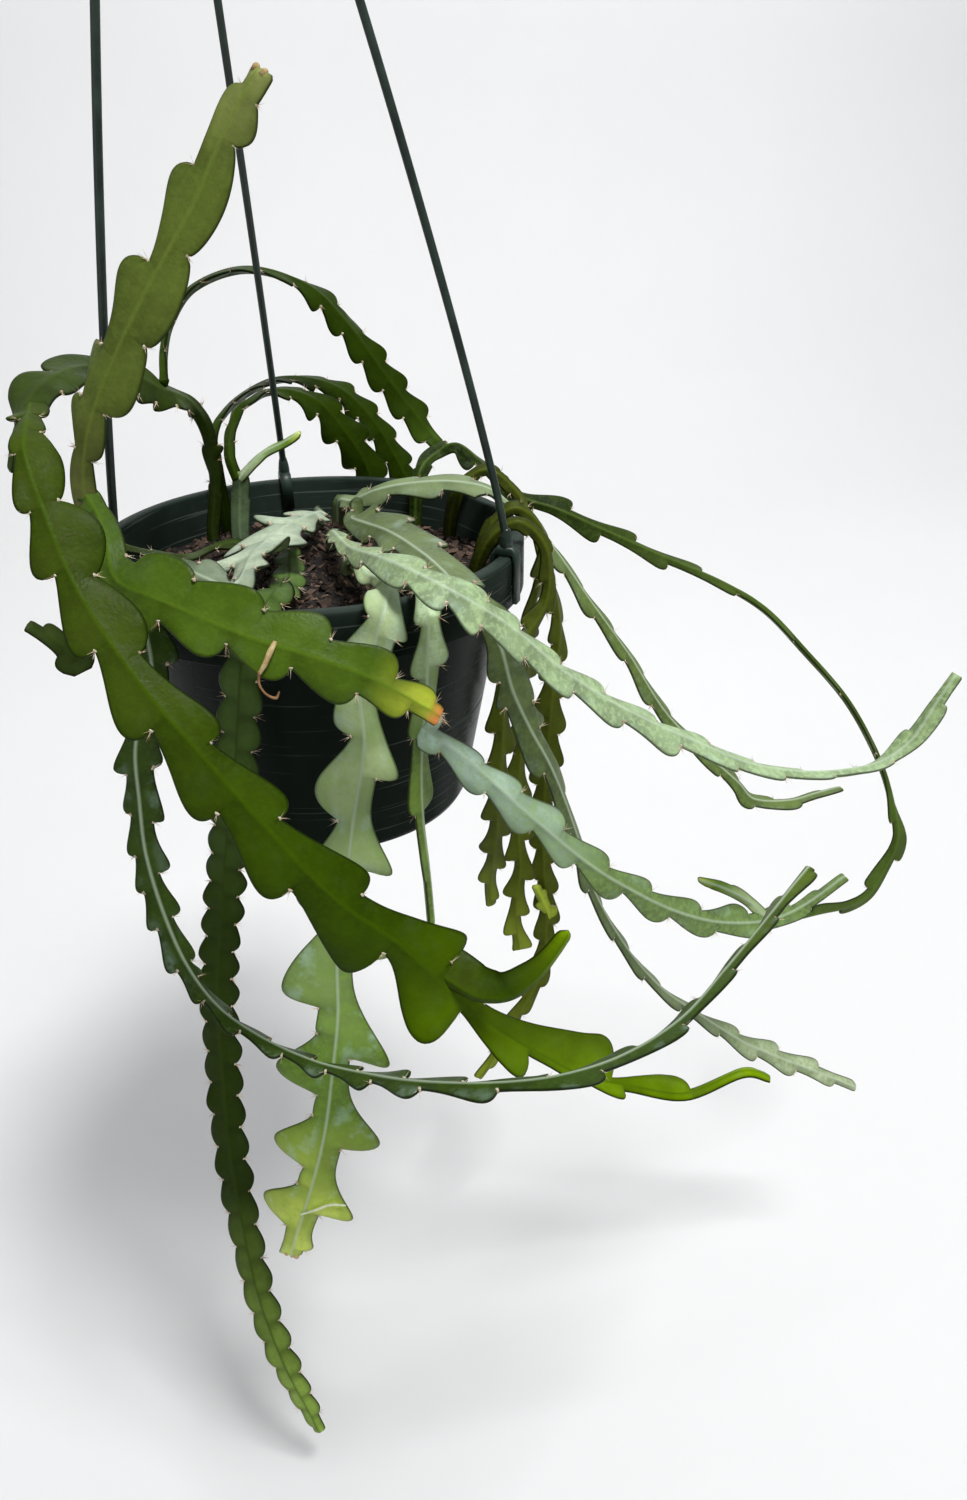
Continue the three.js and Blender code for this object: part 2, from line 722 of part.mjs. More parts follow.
function drill(radius, from, to) {
  const along = new THREE.Vector3().subVectors(to, from);
  const geometry = new THREE.CylinderGeometry(radius, radius, along.length(), 12);
  geometry.translate(0, along.length() / 2, 0);
  const up = new THREE.Vector3(0, 1, 0);
  geometry.applyQuaternion(new THREE.Quaternion().setFromUnitVectors(up, along.normalize()));
  geometry.translate(from.x, from.y, from.z);
  return solidOf(geometry);
}

function rod(points, radius, sides, steps) {
  const path = new THREE.CatmullRomCurve3(points, false, 'centripetal');
  const outline = new THREE.Shape();
  for (let side = 0; side < sides; side += 1) {
    const angle = (side / sides) * 2 * Math.PI;
    const x = radius * Math.cos(angle);
    const y = radius * Math.sin(angle);
    if (side === 0) {
      outline.moveTo(x, y);
    } else {
      outline.lineTo(x, y);
    }
  }
  outline.closePath();
  return solidOf(new THREE.ExtrudeGeometry(outline, { steps, extrudePath: path }));
}

// Stems: a rib line with a lobed edge line on either side of it

function prepare(branch) {
  const points = branch.points.map(([x, y, z]) => new THREE.Vector3(x, y, z));
  const curve = new THREE.CatmullRomCurve3(points, false, 'centripetal');
  const count = SAMPLES_PER_SPAN * (points.length - 1);
  const line = [];
  const arcs = [0];
  for (let i = 0; i <= count; i += 1) {
    line.push(curve.getPoint(i / count));
    if (i > 0) {
      arcs.push(arcs[i - 1] + line[i].distanceTo(line[i - 1]));
    }
  }
  const length = arcs[count];
  const shares = branch.pitch.map((_, i) => i / Math.max(branch.pitch.length - 1, 1));
  const phases = [0];
  for (let i = 1; i <= count; i += 1) {
    const before = interpolate(arcs[i - 1] / length, shares, branch.pitch);
    const after = interpolate(arcs[i] / length, shares, branch.pitch);
    phases.push(phases[i - 1] + (2 * (arcs[i] - arcs[i - 1])) / (before + after));
  }
  return {
    ...branch,
    line,
    arcs,
    phases,
    length,
    pairs: phases[count],
    marks: points.map((_, i) => arcs[i * SAMPLES_PER_SPAN]),
    turns: branch.points.map((point) => point[3]),
    reaches: branch.points.map((point) => point[4]),
  };
}

function pointAt(stem, u) {
  return new THREE.Vector3(
    interpolate(u, stem.arcs, stem.line.map((point) => point.x)),
    interpolate(u, stem.arcs, stem.line.map((point) => point.y)),
    interpolate(u, stem.arcs, stem.line.map((point) => point.z)),
  );
}

function frameAt(stem, u) {
  const before = pointAt(stem, Math.max(u - 2, 0));
  const after = pointAt(stem, Math.min(u + 2, stem.length));
  const along = after.sub(before).normalize();
  const face = VIEW_FACE.clone().addScaledVector(along, -VIEW_FACE.dot(along)).normalize();
  const across = new THREE.Vector3().crossVectors(face, along);
  const turn = THREE.MathUtils.degToRad(interpolate(u, stem.marks, stem.turns));
  const out = face.clone().multiplyScalar(Math.cos(turn)).addScaledVector(across, Math.sin(turn));
  const side = across.multiplyScalar(Math.cos(turn)).addScaledVector(face, -Math.sin(turn));
  return { centre: pointAt(stem, u), out, side };
}

function lobeShape(stem, x, peak) {
  const power = Math.log(0.5) / Math.log(peak);
  const height = Math.sin(Math.PI * x ** power);
  return Math.max(height, 0) ** stem.full;
}

function lengthAt(stem, phase) {
  const inside = THREE.MathUtils.clamp(phase, 0, stem.pairs);
  const pitch = stem.pitch[phase < 0 ? 0 : stem.pitch.length - 1];
  return interpolate(inside, stem.phases, stem.arcs) + (phase - inside) * pitch;
}

// A lobe is [where it starts along the stem, the blade's reach there, the lobe's own reach],
// and where it is widest, as a share of its length, if that isn't the stem's own share.
function regularLobes(stem, sign) {
  const [first, last] = sign < 0 ? [0, 0] : stem.offset;
  const grow = 1 + (last - first) / stem.pairs;
  const lobes = [];
  for (let count = stem.phase - 2; count < stem.pairs + 2; count += 1) {
    const start = lengthAt(stem, count * grow + first);
    const end = lengthAt(stem, (count + 1) * grow + first);
    const neck = interpolate(start, stem.marks, stem.reaches) * stem.notch;
    lobes.push([start, neck, interpolate((start + 4 * end) / 5, stem.marks, stem.reaches)]);
  }
  return lobes;
}

// Lobes that are listed by hand take the place of the regular ones along their stretch.
function lobesAlong(stem, sign) {
  const listed = sign < 0 ? stem.right : stem.left;
  const regular = regularLobes(stem, sign);
  if (listed.length === 0) {
    return regular;
  }
  const before = regular.filter(([start]) => start < listed[0][0] - LOBE_ROOM);
  const after = regular.filter(([start]) => start > listed[listed.length - 1][0] + LOBE_ROOM);
  return [...before, ...listed, ...after];
}

// A stem that stands in the soil starts with a plain upright foot.
function footLine(stem) {
  const count = stem.line[0].z === ROOT_DEPTH ? 3 : 1;
  return stem.marks.slice(0, count).map((u, i) => ({ u, width: stem.reaches[i] }));
}

function edgeLine(stem, sign) {
  const edge = footLine(stem);
  const footEnd = edge[edge.length - 1].u + 1;
  const lobes = lobesAlong(stem, sign);
  for (let i = 0; i < lobes.length - 1; i += 1) {
    const [start, neck, reach, peak = stem.peak[sign < 0 ? 0 : 1]] = lobes[i];
    const [end, nextNeck] = lobes[i + 1];
    for (const x of LOBE_STEPS[stem.steps]) {
      const height = lobeShape(stem, x, peak);
      const u = start + (x + stem.lean * height) * (end - start);
      if (u > footEnd && u < stem.length - 1) {
        const base = neck + (nextNeck - neck) * x;
        const least = Math.min(interpolate(u, stem.marks, stem.reaches), LEAST_REACH);
        edge.push({ u, width: Math.max(base + (reach - base) * height, least) });
      }
    }
  }
  edge.push({ u: stem.length, width: stem.reaches[stem.reaches.length - 1] });
  return edge;
}

function ribLine(stem) {
  const rib = footLine(stem).map(({ u }) => ({ u, width: 0 }));
  const footEnd = rib[rib.length - 1].u + 1;
  for (let phase = RIB_STEP; phase < stem.pairs - RIB_STEP / 2; phase += RIB_STEP) {
    const u = interpolate(phase, stem.phases, stem.arcs);
    if (u > footEnd) {
      rib.push({ u, width: 0 });
    }
  }
  rib.push({ u: stem.length, width: 0 });
  return rib;
}

function leafyStem(branch) {
  const stem = prepare(branch);
  const positions = [];
  const triangles = [];

  function lay(chain, sign, isRib) {
    const top = [];
    const bottom = [];
    for (const { u, width } of chain) {
      const { centre, out, side } = frameAt(stem, u);
      const reach = interpolate(u, stem.marks, stem.reaches);
      const roundness = 1 - THREE.MathUtils.smoothstep(reach, ROOT_REACH, BLADE_REACH);
      const edgeHalf = EDGE_HALF + (ROUND_EDGE_HALF - EDGE_HALF) * roundness;
      const half = isRib ? Math.max(stem.rib, edgeHalf) : edgeHalf;
      const fold = interpolate(u, stem.fold.map((mark) => mark[0]), stem.fold.map((mark) => mark[1]));
      const place = centre.addScaledVector(side, sign * width).addScaledVector(out, fold * width);
      top.push(positions.length / 3);
      positions.push(...place.clone().addScaledVector(out, half).toArray());
      bottom.push(positions.length / 3);
      positions.push(...place.clone().addScaledVector(out, -half).toArray());
    }
    return { chain, top, bottom };
  }

  function skin(a, b) {
    let i = 0;
    let j = 0;
    while (i < a.chain.length - 1 || j < b.chain.length - 1) {
      const aLeft = i < a.chain.length - 1;
      const bLeft = j < b.chain.length - 1;
      if (!bLeft || (aLeft && a.chain[i + 1].u <= b.chain[j + 1].u)) {
        triangles.push(a.top[i], a.top[i + 1], b.top[j]);
        triangles.push(a.bottom[i + 1], a.bottom[i], b.bottom[j]);
        i += 1;
      } else {
        triangles.push(a.top[i], b.top[j + 1], b.top[j]);
        triangles.push(b.bottom[j + 1], a.bottom[i], b.bottom[j]);
        j += 1;
      }
    }
  }

  function wall(a, flip) {
    for (let i = 0; i < a.chain.length - 1; i += 1) {
      const corners = [a.top[i], a.bottom[i], a.top[i + 1], a.bottom[i + 1]];
      const [p, q, r, s] = flip ? [corners[1], corners[0], corners[3], corners[2]] : corners;
      triangles.push(p, q, r, r, q, s);
    }
  }

  function cap(left, rib, right, end) {
    const ring = [left.bottom, left.top, rib.top, right.top, right.bottom, rib.bottom];
    const corners = ring.map((list) => list[end ? list.length - 1 : 0]);
    for (const [a, b, c] of [[0, 1, 2], [0, 2, 5], [5, 2, 3], [5, 3, 4]]) {
      if (end) {
        triangles.push(corners[a], corners[c], corners[b]);
      } else {
        triangles.push(corners[a], corners[b], corners[c]);
      }
    }
  }

  const left = lay(edgeLine(stem, -1), -1, false);
  const rib = lay(ribLine(stem), 0, true);
  const right = lay(edgeLine(stem, 1), 1, false);
  skin(left, rib);
  skin(rib, right);
  wall(left, false);
  wall(right, true);
  cap(left, rib, right, false);
  cap(left, rib, right, true);
  return toSolid(positions, triangles);
}

const BRANCH_DEFAULTS = {
  pitch: [24],
  phase: 0,
  offset: [0.5, 0.5],
  notch: 0.5,
  peak: [0.7, 0.7],
  lean: 0.1,
  full: 0.8,
  fold: [[0, 0]],
  left: [],
  right: [],
  rib: RIB_HALF,
  steps: 3,
};

function buildStem(entry) {
  const parts = entry.branches.map((branch) => leafyStem({ ...BRANCH_DEFAULTS, ...branch }));
  return parts.reduce((whole, part) => whole.add(part));
}

// Pot, soil, hook, strands

function buildPot() {
  const groove = BODY_TOP_RADIUS - 0.2;
  let pot = revolve([
    [0, -POT_HEIGHT],
    [BASE_RADIUS - 6, -POT_HEIGHT],
    [BASE_RADIUS - 2, -POT_HEIGHT + 1.2],
    [BASE_RADIUS, -POT_HEIGHT + 5],
    [groove, -2.4],
    [RIM_RADIUS - SKIRT_WALL, -2.4],
    [RIM_RADIUS - SKIRT_WALL, -SKIRT_HEIGHT],
    [RIM_RADIUS, -SKIRT_HEIGHT],
    [RIM_RADIUS, -1.2],
    [RIM_RADIUS - 1, 0],
    [LIP_INNER_RADIUS + 0.8, 0],
    [LIP_INNER_RADIUS, -1],
    [FLOOR_RADIUS, -POT_HEIGHT + 6],
    [FLOOR_RADIUS - 3, -POT_HEIGHT + FLOOR_THICKNESS],
    [0, -POT_HEIGHT + FLOOR_THICKNESS],
  ], ROUND_STEPS);
  for (let hole = 0; hole < DRAIN_HOLES; hole += 1) {
    const angle = (hole / DRAIN_HOLES) * 2 * Math.PI;
    const from = new THREE.Vector3(Math.cos(angle), Math.sin(angle), 0).multiplyScalar(DRAIN_CIRCLE);
    const to = from.clone();
    from.z = -POT_HEIGHT - 1;
    to.z = -POT_HEIGHT + FLOOR_THICKNESS + 1;
    pot = pot.subtract(drill(DRAIN_RADIUS, from, to));
  }
  return pot;
}

function innerWallAt(z) {
  return interpolate(z, [-POT_HEIGHT + 6, -1], [FLOOR_RADIUS, LIP_INNER_RADIUS]);
}

function buildSoil() {
  const floor = -POT_HEIGHT + FLOOR_THICKNESS + SEAT_GAP;
  const corner = -POT_HEIGHT + 6.2;
  let soil = revolve([
    [0, floor],
    [FLOOR_RADIUS - 3.2, floor],
    [innerWallAt(corner) - SEAT_GAP, corner],
    [innerWallAt(SOIL_EDGE) - SEAT_GAP, SOIL_EDGE],
    [86, SOIL_TOP - 2.8],
    [64, SOIL_TOP - 1.4],
    [30, SOIL_TOP - 0.3],
    [0, SOIL_TOP],
  ], ROUND_STEPS);
  for (const entry of STEMS) {
    for (const branch of entry.branches) {
      const stem = prepare({ ...BRANCH_DEFAULTS, ...branch });
      if (stem.line[0].z === ROOT_DEPTH) {
        soil = soil.subtract(rootHole(stem));
      }
    }
  }
  return soil;
}

function rootHole(stem) {
  const foot = stem.line[0];
  let radius = 0;
  for (let u = 0; pointAt(stem, u).z < SOIL_TOP + 0.5; u += 0.5) {
    const { centre, out, side } = frameAt(stem, u);
    const reach = interpolate(u, stem.marks, stem.reaches);
    for (const sign of [-1, 1]) {
      const corner = centre.clone().addScaledVector(side, sign * reach);
      corner.addScaledVector(out, sign * ROUND_EDGE_HALF);
      const ridge = centre.clone().addScaledVector(out, sign * stem.rib);
      for (const place of [corner, ridge]) {
        radius = Math.max(radius, Math.hypot(place.x - foot.x, place.y - foot.y));
      }
    }
  }
  const from = new THREE.Vector3(foot.x, foot.y, ROOT_DEPTH - 2);
  const to = new THREE.Vector3(foot.x, foot.y, SOIL_TOP + 10);
  return drill(radius + ROOT_GAP, from, to);
}

function clipTop(azimuth) {
  const angle = THREE.MathUtils.degToRad(azimuth);
  return new THREE.Vector3(98 * Math.cos(angle), 98 * Math.sin(angle), 7);
}

function strandPoints(azimuth) {
  const start = clipTop(azimuth);
  const end = STRANDS_MEET.clone();
  const outward = new THREE.Vector3(start.x - end.x, start.y - end.y, 0).normalize();
  const stop = (HUB_BOTTOM + SOCKET_DEPTH - SEAT_GAP - start.z) / (end.z - start.z);
  const points = [];
  for (const share of [0, 0.05, 0.2, 0.4, 0.6, 0.8, 0.95, 1]) {
    const place = start.clone().lerp(end, share * stop);
    points.push(place.addScaledVector(outward, STRAND_BOW * Math.sin(Math.PI * share ** 0.7)));
  }
  return points;
}

function buildStrand(azimuth) {
  const inner = LIP_INNER_RADIUS - 0.75;
  const outer = RIM_RADIUS + 0.35;
  const band = new THREE.Shape();
  band.moveTo(inner, 0.4);
  band.lineTo(outer, 0.4);
  band.lineTo(outer, -SKIRT_HEIGHT + 2);
  band.lineTo(outer + CLIP_THICKNESS, -SKIRT_HEIGHT + 2);
  band.lineTo(outer + CLIP_THICKNESS, 1.5);
  band.lineTo(outer - 1, 4.5);
  band.lineTo(inner + 1, 4.5);
  band.lineTo(inner - CLIP_THICKNESS, 1.5);
  band.lineTo(inner - CLIP_THICKNESS - 2.4, -14);
  band.lineTo(inner - 2.6, -14);
  band.closePath();
  const geometry = new THREE.ExtrudeGeometry(band, { depth: CLIP_WIDTH, bevelEnabled: false });
  geometry.translate(0, 0, -CLIP_WIDTH / 2);
  geometry.rotateX(Math.PI / 2);
  geometry.rotateZ(THREE.MathUtils.degToRad(azimuth));
  const top = clipTop(azimuth);
  const collarFrom = top.clone().setZ(3);
  const collarTo = top.clone().setZ(12);
  const strand = rod(strandPoints(azimuth), STRAND_RADIUS, 8, 12);
  return solidOf(geometry).add(drill(3, collarFrom, collarTo)).add(strand);
}

function buildHook() {
  const centre = HOOK_TOP.clone();
  centre.z -= HOOK_INNER_RADIUS;
  const bend = HOOK_INNER_RADIUS + HOOK_ROD_RADIUS;
  const points = [
    new THREE.Vector3(centre.x, 0, HUB_TOP - 4),
    new THREE.Vector3(centre.x, 0, HUB_TOP + 5),
    new THREE.Vector3(centre.x + 4, 0, centre.z - bend - 1.5),
  ];
  for (let degrees = -45; degrees <= 205; degrees += 25) {
    const angle = THREE.MathUtils.degToRad(degrees);
    points.push(new THREE.Vector3(bend * Math.cos(angle), 0, bend * Math.sin(angle)).add(centre));
  }
  const hub = revolve([
    [0, HUB_BOTTOM],
    [HUB_RADIUS - 1.5, HUB_BOTTOM],
    [HUB_RADIUS, HUB_BOTTOM + 1.5],
    [HUB_RADIUS, HUB_BOTTOM + 9],
    [4, HUB_TOP],
    [0, HUB_TOP],
  ], 24).translate([centre.x, centre.y, 0]);
  let hook = hub.add(rod(points, HOOK_ROD_RADIUS, 8, 28));
  for (const azimuth of Object.values(STRAND_AZIMUTHS)) {
    const route = strandPoints(azimuth);
    const end = route[route.length - 1];
    const along = end.clone().sub(route[route.length - 2]).normalize();
    const from = end.clone().addScaledVector(along, -SOCKET_DEPTH * 2);
    const to = end.clone().addScaledVector(along, SEAT_GAP);
    hook = hook.subtract(drill(STRAND_RADIUS + SOCKET_GAP, from, to));
  }
  return hook;
}

// Nodes

const group = new THREE.Group();
group.name = 'hanging_fishbone_cactus';

function place(name, solid, colour, roughness) {
  const { vertProperties, triVerts } = solid.getMesh();
  const geometry = new THREE.BufferGeometry();
  geometry.setAttribute('position', new THREE.BufferAttribute(vertProperties, 3));
  geometry.setIndex(new THREE.BufferAttribute(triVerts, 1));
  geometry.translate(-HOOK_TOP.x, -HOOK_TOP.y, -HOOK_TOP.z);
  geometry.computeVertexNormals();
  const material = new THREE.MeshStandardMaterial({ color: colour, roughness, metalness: 0 });
  const mesh = new THREE.Mesh(geometry, material);
  mesh.name = name;
  group.add(mesh);
}

place('pot', buildPot(), COLOURS.pot, 0.35);
place('soil', buildSoil(), COLOURS.soil, 0.95);
place('hanger_hook', buildHook(), COLOURS.hanger, 0.4);
for (const [name, azimuth] of Object.entries(STRAND_AZIMUTHS)) {
  place(name, buildStrand(azimuth), COLOURS.hanger, 0.4);
}
for (const entry of STEMS) {
  place(entry.name, buildStem(entry), COLOURS[entry.colour], 0.5);
}

export default group;
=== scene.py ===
# %% [markdown]
# # A fishbone cactus in a hanging pot
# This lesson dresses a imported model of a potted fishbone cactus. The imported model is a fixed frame: it gives
# the size and the place of every stem, the pot, the soil and the hanger. Each piece made here either stands
# for one of its nodes, with a finer form and a real finish, or is small detail that the frame leaves out.

# %% Load the frame
import math
import random
import bmesh
import bpy
import numpy as np
from mathutils import Matrix, Vector


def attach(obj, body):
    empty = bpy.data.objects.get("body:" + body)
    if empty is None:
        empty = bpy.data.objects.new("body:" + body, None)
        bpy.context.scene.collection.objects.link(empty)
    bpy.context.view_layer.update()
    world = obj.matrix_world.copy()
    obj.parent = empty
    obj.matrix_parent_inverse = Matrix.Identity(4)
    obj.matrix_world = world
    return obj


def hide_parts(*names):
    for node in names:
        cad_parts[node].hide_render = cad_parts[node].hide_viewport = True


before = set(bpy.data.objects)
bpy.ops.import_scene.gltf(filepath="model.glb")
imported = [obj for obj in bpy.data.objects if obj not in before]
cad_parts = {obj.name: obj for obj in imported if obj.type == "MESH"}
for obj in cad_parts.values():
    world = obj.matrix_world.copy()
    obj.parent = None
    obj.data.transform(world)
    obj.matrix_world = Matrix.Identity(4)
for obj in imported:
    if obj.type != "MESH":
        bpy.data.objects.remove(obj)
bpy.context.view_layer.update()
print("nodes in the frame:", len(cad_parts))

# %% [markdown]
# ## Units and the one fixed point
# Sizes of plants and pots are easiest to think of in millimetres, about the centre of the pot's rim. The
# frame's origin is the inner top of the hook, so one offset turns rim millimetres into frame metres.

# %% Units
RIM_FROM_HOOK = np.array([28.0, 0.0, -440.0])


def metres(points):
    return (np.asarray(points, dtype=float) + RIM_FROM_HOOK) / 1000


def srgb(red, green, blue):
    channels = []
    for value in (red, green, blue):
        share = value / 255
        channels.append(share / 12.92 if share <= 0.04045 else ((share + 0.055) / 1.055) ** 2.4)
    return (*channels, 1.0)


print("rim centre in the frame:", metres([0, 0, 0]))

# %% [markdown]
# ## The camera
# The photograph was taken from a standing person's eye, close to the plant and looking down at it, with a
# fairly wide lens. The camera comes first, because every choice of detail depends on what it sees.

# %% Camera
EYE = metres([0, -508, 165])
PITCH_DOWN = math.radians(29.6)
YAW_RIGHT = math.radians(9.2)
ROLL = math.radians(-0.5)
LENS = 26.0

forward = Vector((
    math.sin(YAW_RIGHT) * math.cos(PITCH_DOWN),
    math.cos(YAW_RIGHT) * math.cos(PITCH_DOWN),
    -math.sin(PITCH_DOWN),
))
level_right = forward.cross(Vector((0, 0, 1))).normalized()
level_up = level_right.cross(forward)
right = level_right * math.cos(ROLL) + level_up * math.sin(ROLL)
up = right.cross(forward)
camera_data = bpy.data.cameras.new("camera")
camera_data.lens = LENS
camera_data.sensor_width = 36.0
camera_data.clip_start = 0.01
camera = bpy.data.objects.new("camera", camera_data)
camera.matrix_world = Matrix((
    (right.x, up.x, -forward.x, EYE[0]),
    (right.y, up.y, -forward.y, EYE[1]),
    (right.z, up.z, -forward.z, EYE[2]),
    (0, 0, 0, 1),
))
bpy.context.collection.objects.link(camera)
bpy.context.scene.camera = camera
print("camera at", [round(value, 3) for value in EYE])

# %% [markdown]
# ## Small helpers for meshes
# Every piece here is a mesh made from lists of points and faces. Helpers lay rings of points, join them with
# faces, turn such lists into an object and make it ride on the frame. A pile gathers several small meshes,
# given in rim millimetres, into one piece and carries per-point values along for the materials.

# %% Mesh helpers


def make_object(name, points, faces, values=None, smooth=True):
    mesh = bpy.data.meshes.new(name)
    mesh.from_pydata([tuple(point) for point in points], [], faces)
    for key, numbers in (values or {}).items():
        layer = mesh.attributes.new(key, "FLOAT", "POINT")
        layer.data.foreach_set("value", np.asarray(numbers, dtype=np.float32))
    mesh.polygons.foreach_set("use_smooth", [smooth] * len(mesh.polygons))
    mesh.update()
    item = bpy.data.objects.new(name, mesh)
    bpy.context.collection.objects.link(item)
    return item


def dress(item, *materials):
    item.data.materials.clear()
    for material in materials:
        item.data.materials.append(material)
    return item


def seat(item, slot_name, *nodes):
    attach(item, "root")
    if nodes:
        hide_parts(*nodes)
    return item


def circle(turns, shift=0.0):
    """Cosine and sine of evenly spaced angles round a circle."""
    angles = [2 * math.pi * (k + shift) / turns for k in range(turns)]
    return [(math.cos(angle), math.sin(angle)) for angle in angles]


def tube_faces(rings, turns, first=0, flip=False):
    """Faces between rings of points that follow one another."""
    faces = []
    for ring in range(rings - 1):
        for k in range(turns):
            a = first + ring * turns + k
            b = first + ring * turns + (k + 1) % turns
            faces.append((a, a + turns, b + turns, b) if flip else (a, b, b + turns, a + turns))
    return faces


def fan_faces(first, turns, tip, flip=False):
    """Triangles between a ring of points and one more point."""
    pairs = [(first + k, first + (k + 1) % turns) for k in range(turns)]
    return [(b, a, tip) if flip else (a, b, tip) for a, b in pairs]


class Pile:
    """Points, faces and point values that grow until they become one object."""

    def __init__(self, *meshes):
        self.points = []
        self.faces = []
        self.values = {}
        for points, faces in meshes:
            self.add(points, faces)

    def add(self, points, faces, values=None):
        start = len(self.points)
        self.points.extend(metres(points))
        self.faces.extend([tuple(start + corner for corner in face) for face in faces])
        for key, numbers in (values or {}).items():
            self.values.setdefault(key, []).extend(numbers)

    def object(self, name, smooth=True):
        return make_object(name, self.points, self.faces, self.values, smooth)


print("mesh helpers ready")

# %% [markdown]
# ## Where each stem runs
# A stem of this cactus is one flat, leafless blade with a rib down its middle and rounded lobes along both
# edges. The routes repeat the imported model's: each point is x, y, z in millimetres from the rim's centre, the
# turn of the blade in degrees, and how far the lobes reach from the rib there. Most of the points were
# worked out by a separate program, from points picked in the photograph and depths judged by eye, and
# rounded to whole millimetres.
#
# Pitch is the length of one pair of lobes, and phase and offset say where the lobes start. Notch is the share
# of the reach that stays between two lobes, peak the share of a lobe's length at which it is widest, on the
# right and on the left edge, lean its slant, and full how pointed its outline is. Where lobes differ much,
# left and right list them one by one, after measurements in the photograph: where each starts, how wide
# the blade is there, how far the lobe reaches, and at times its own peak. Fold lists lengths along the
# stem with how much the blade is folded there.

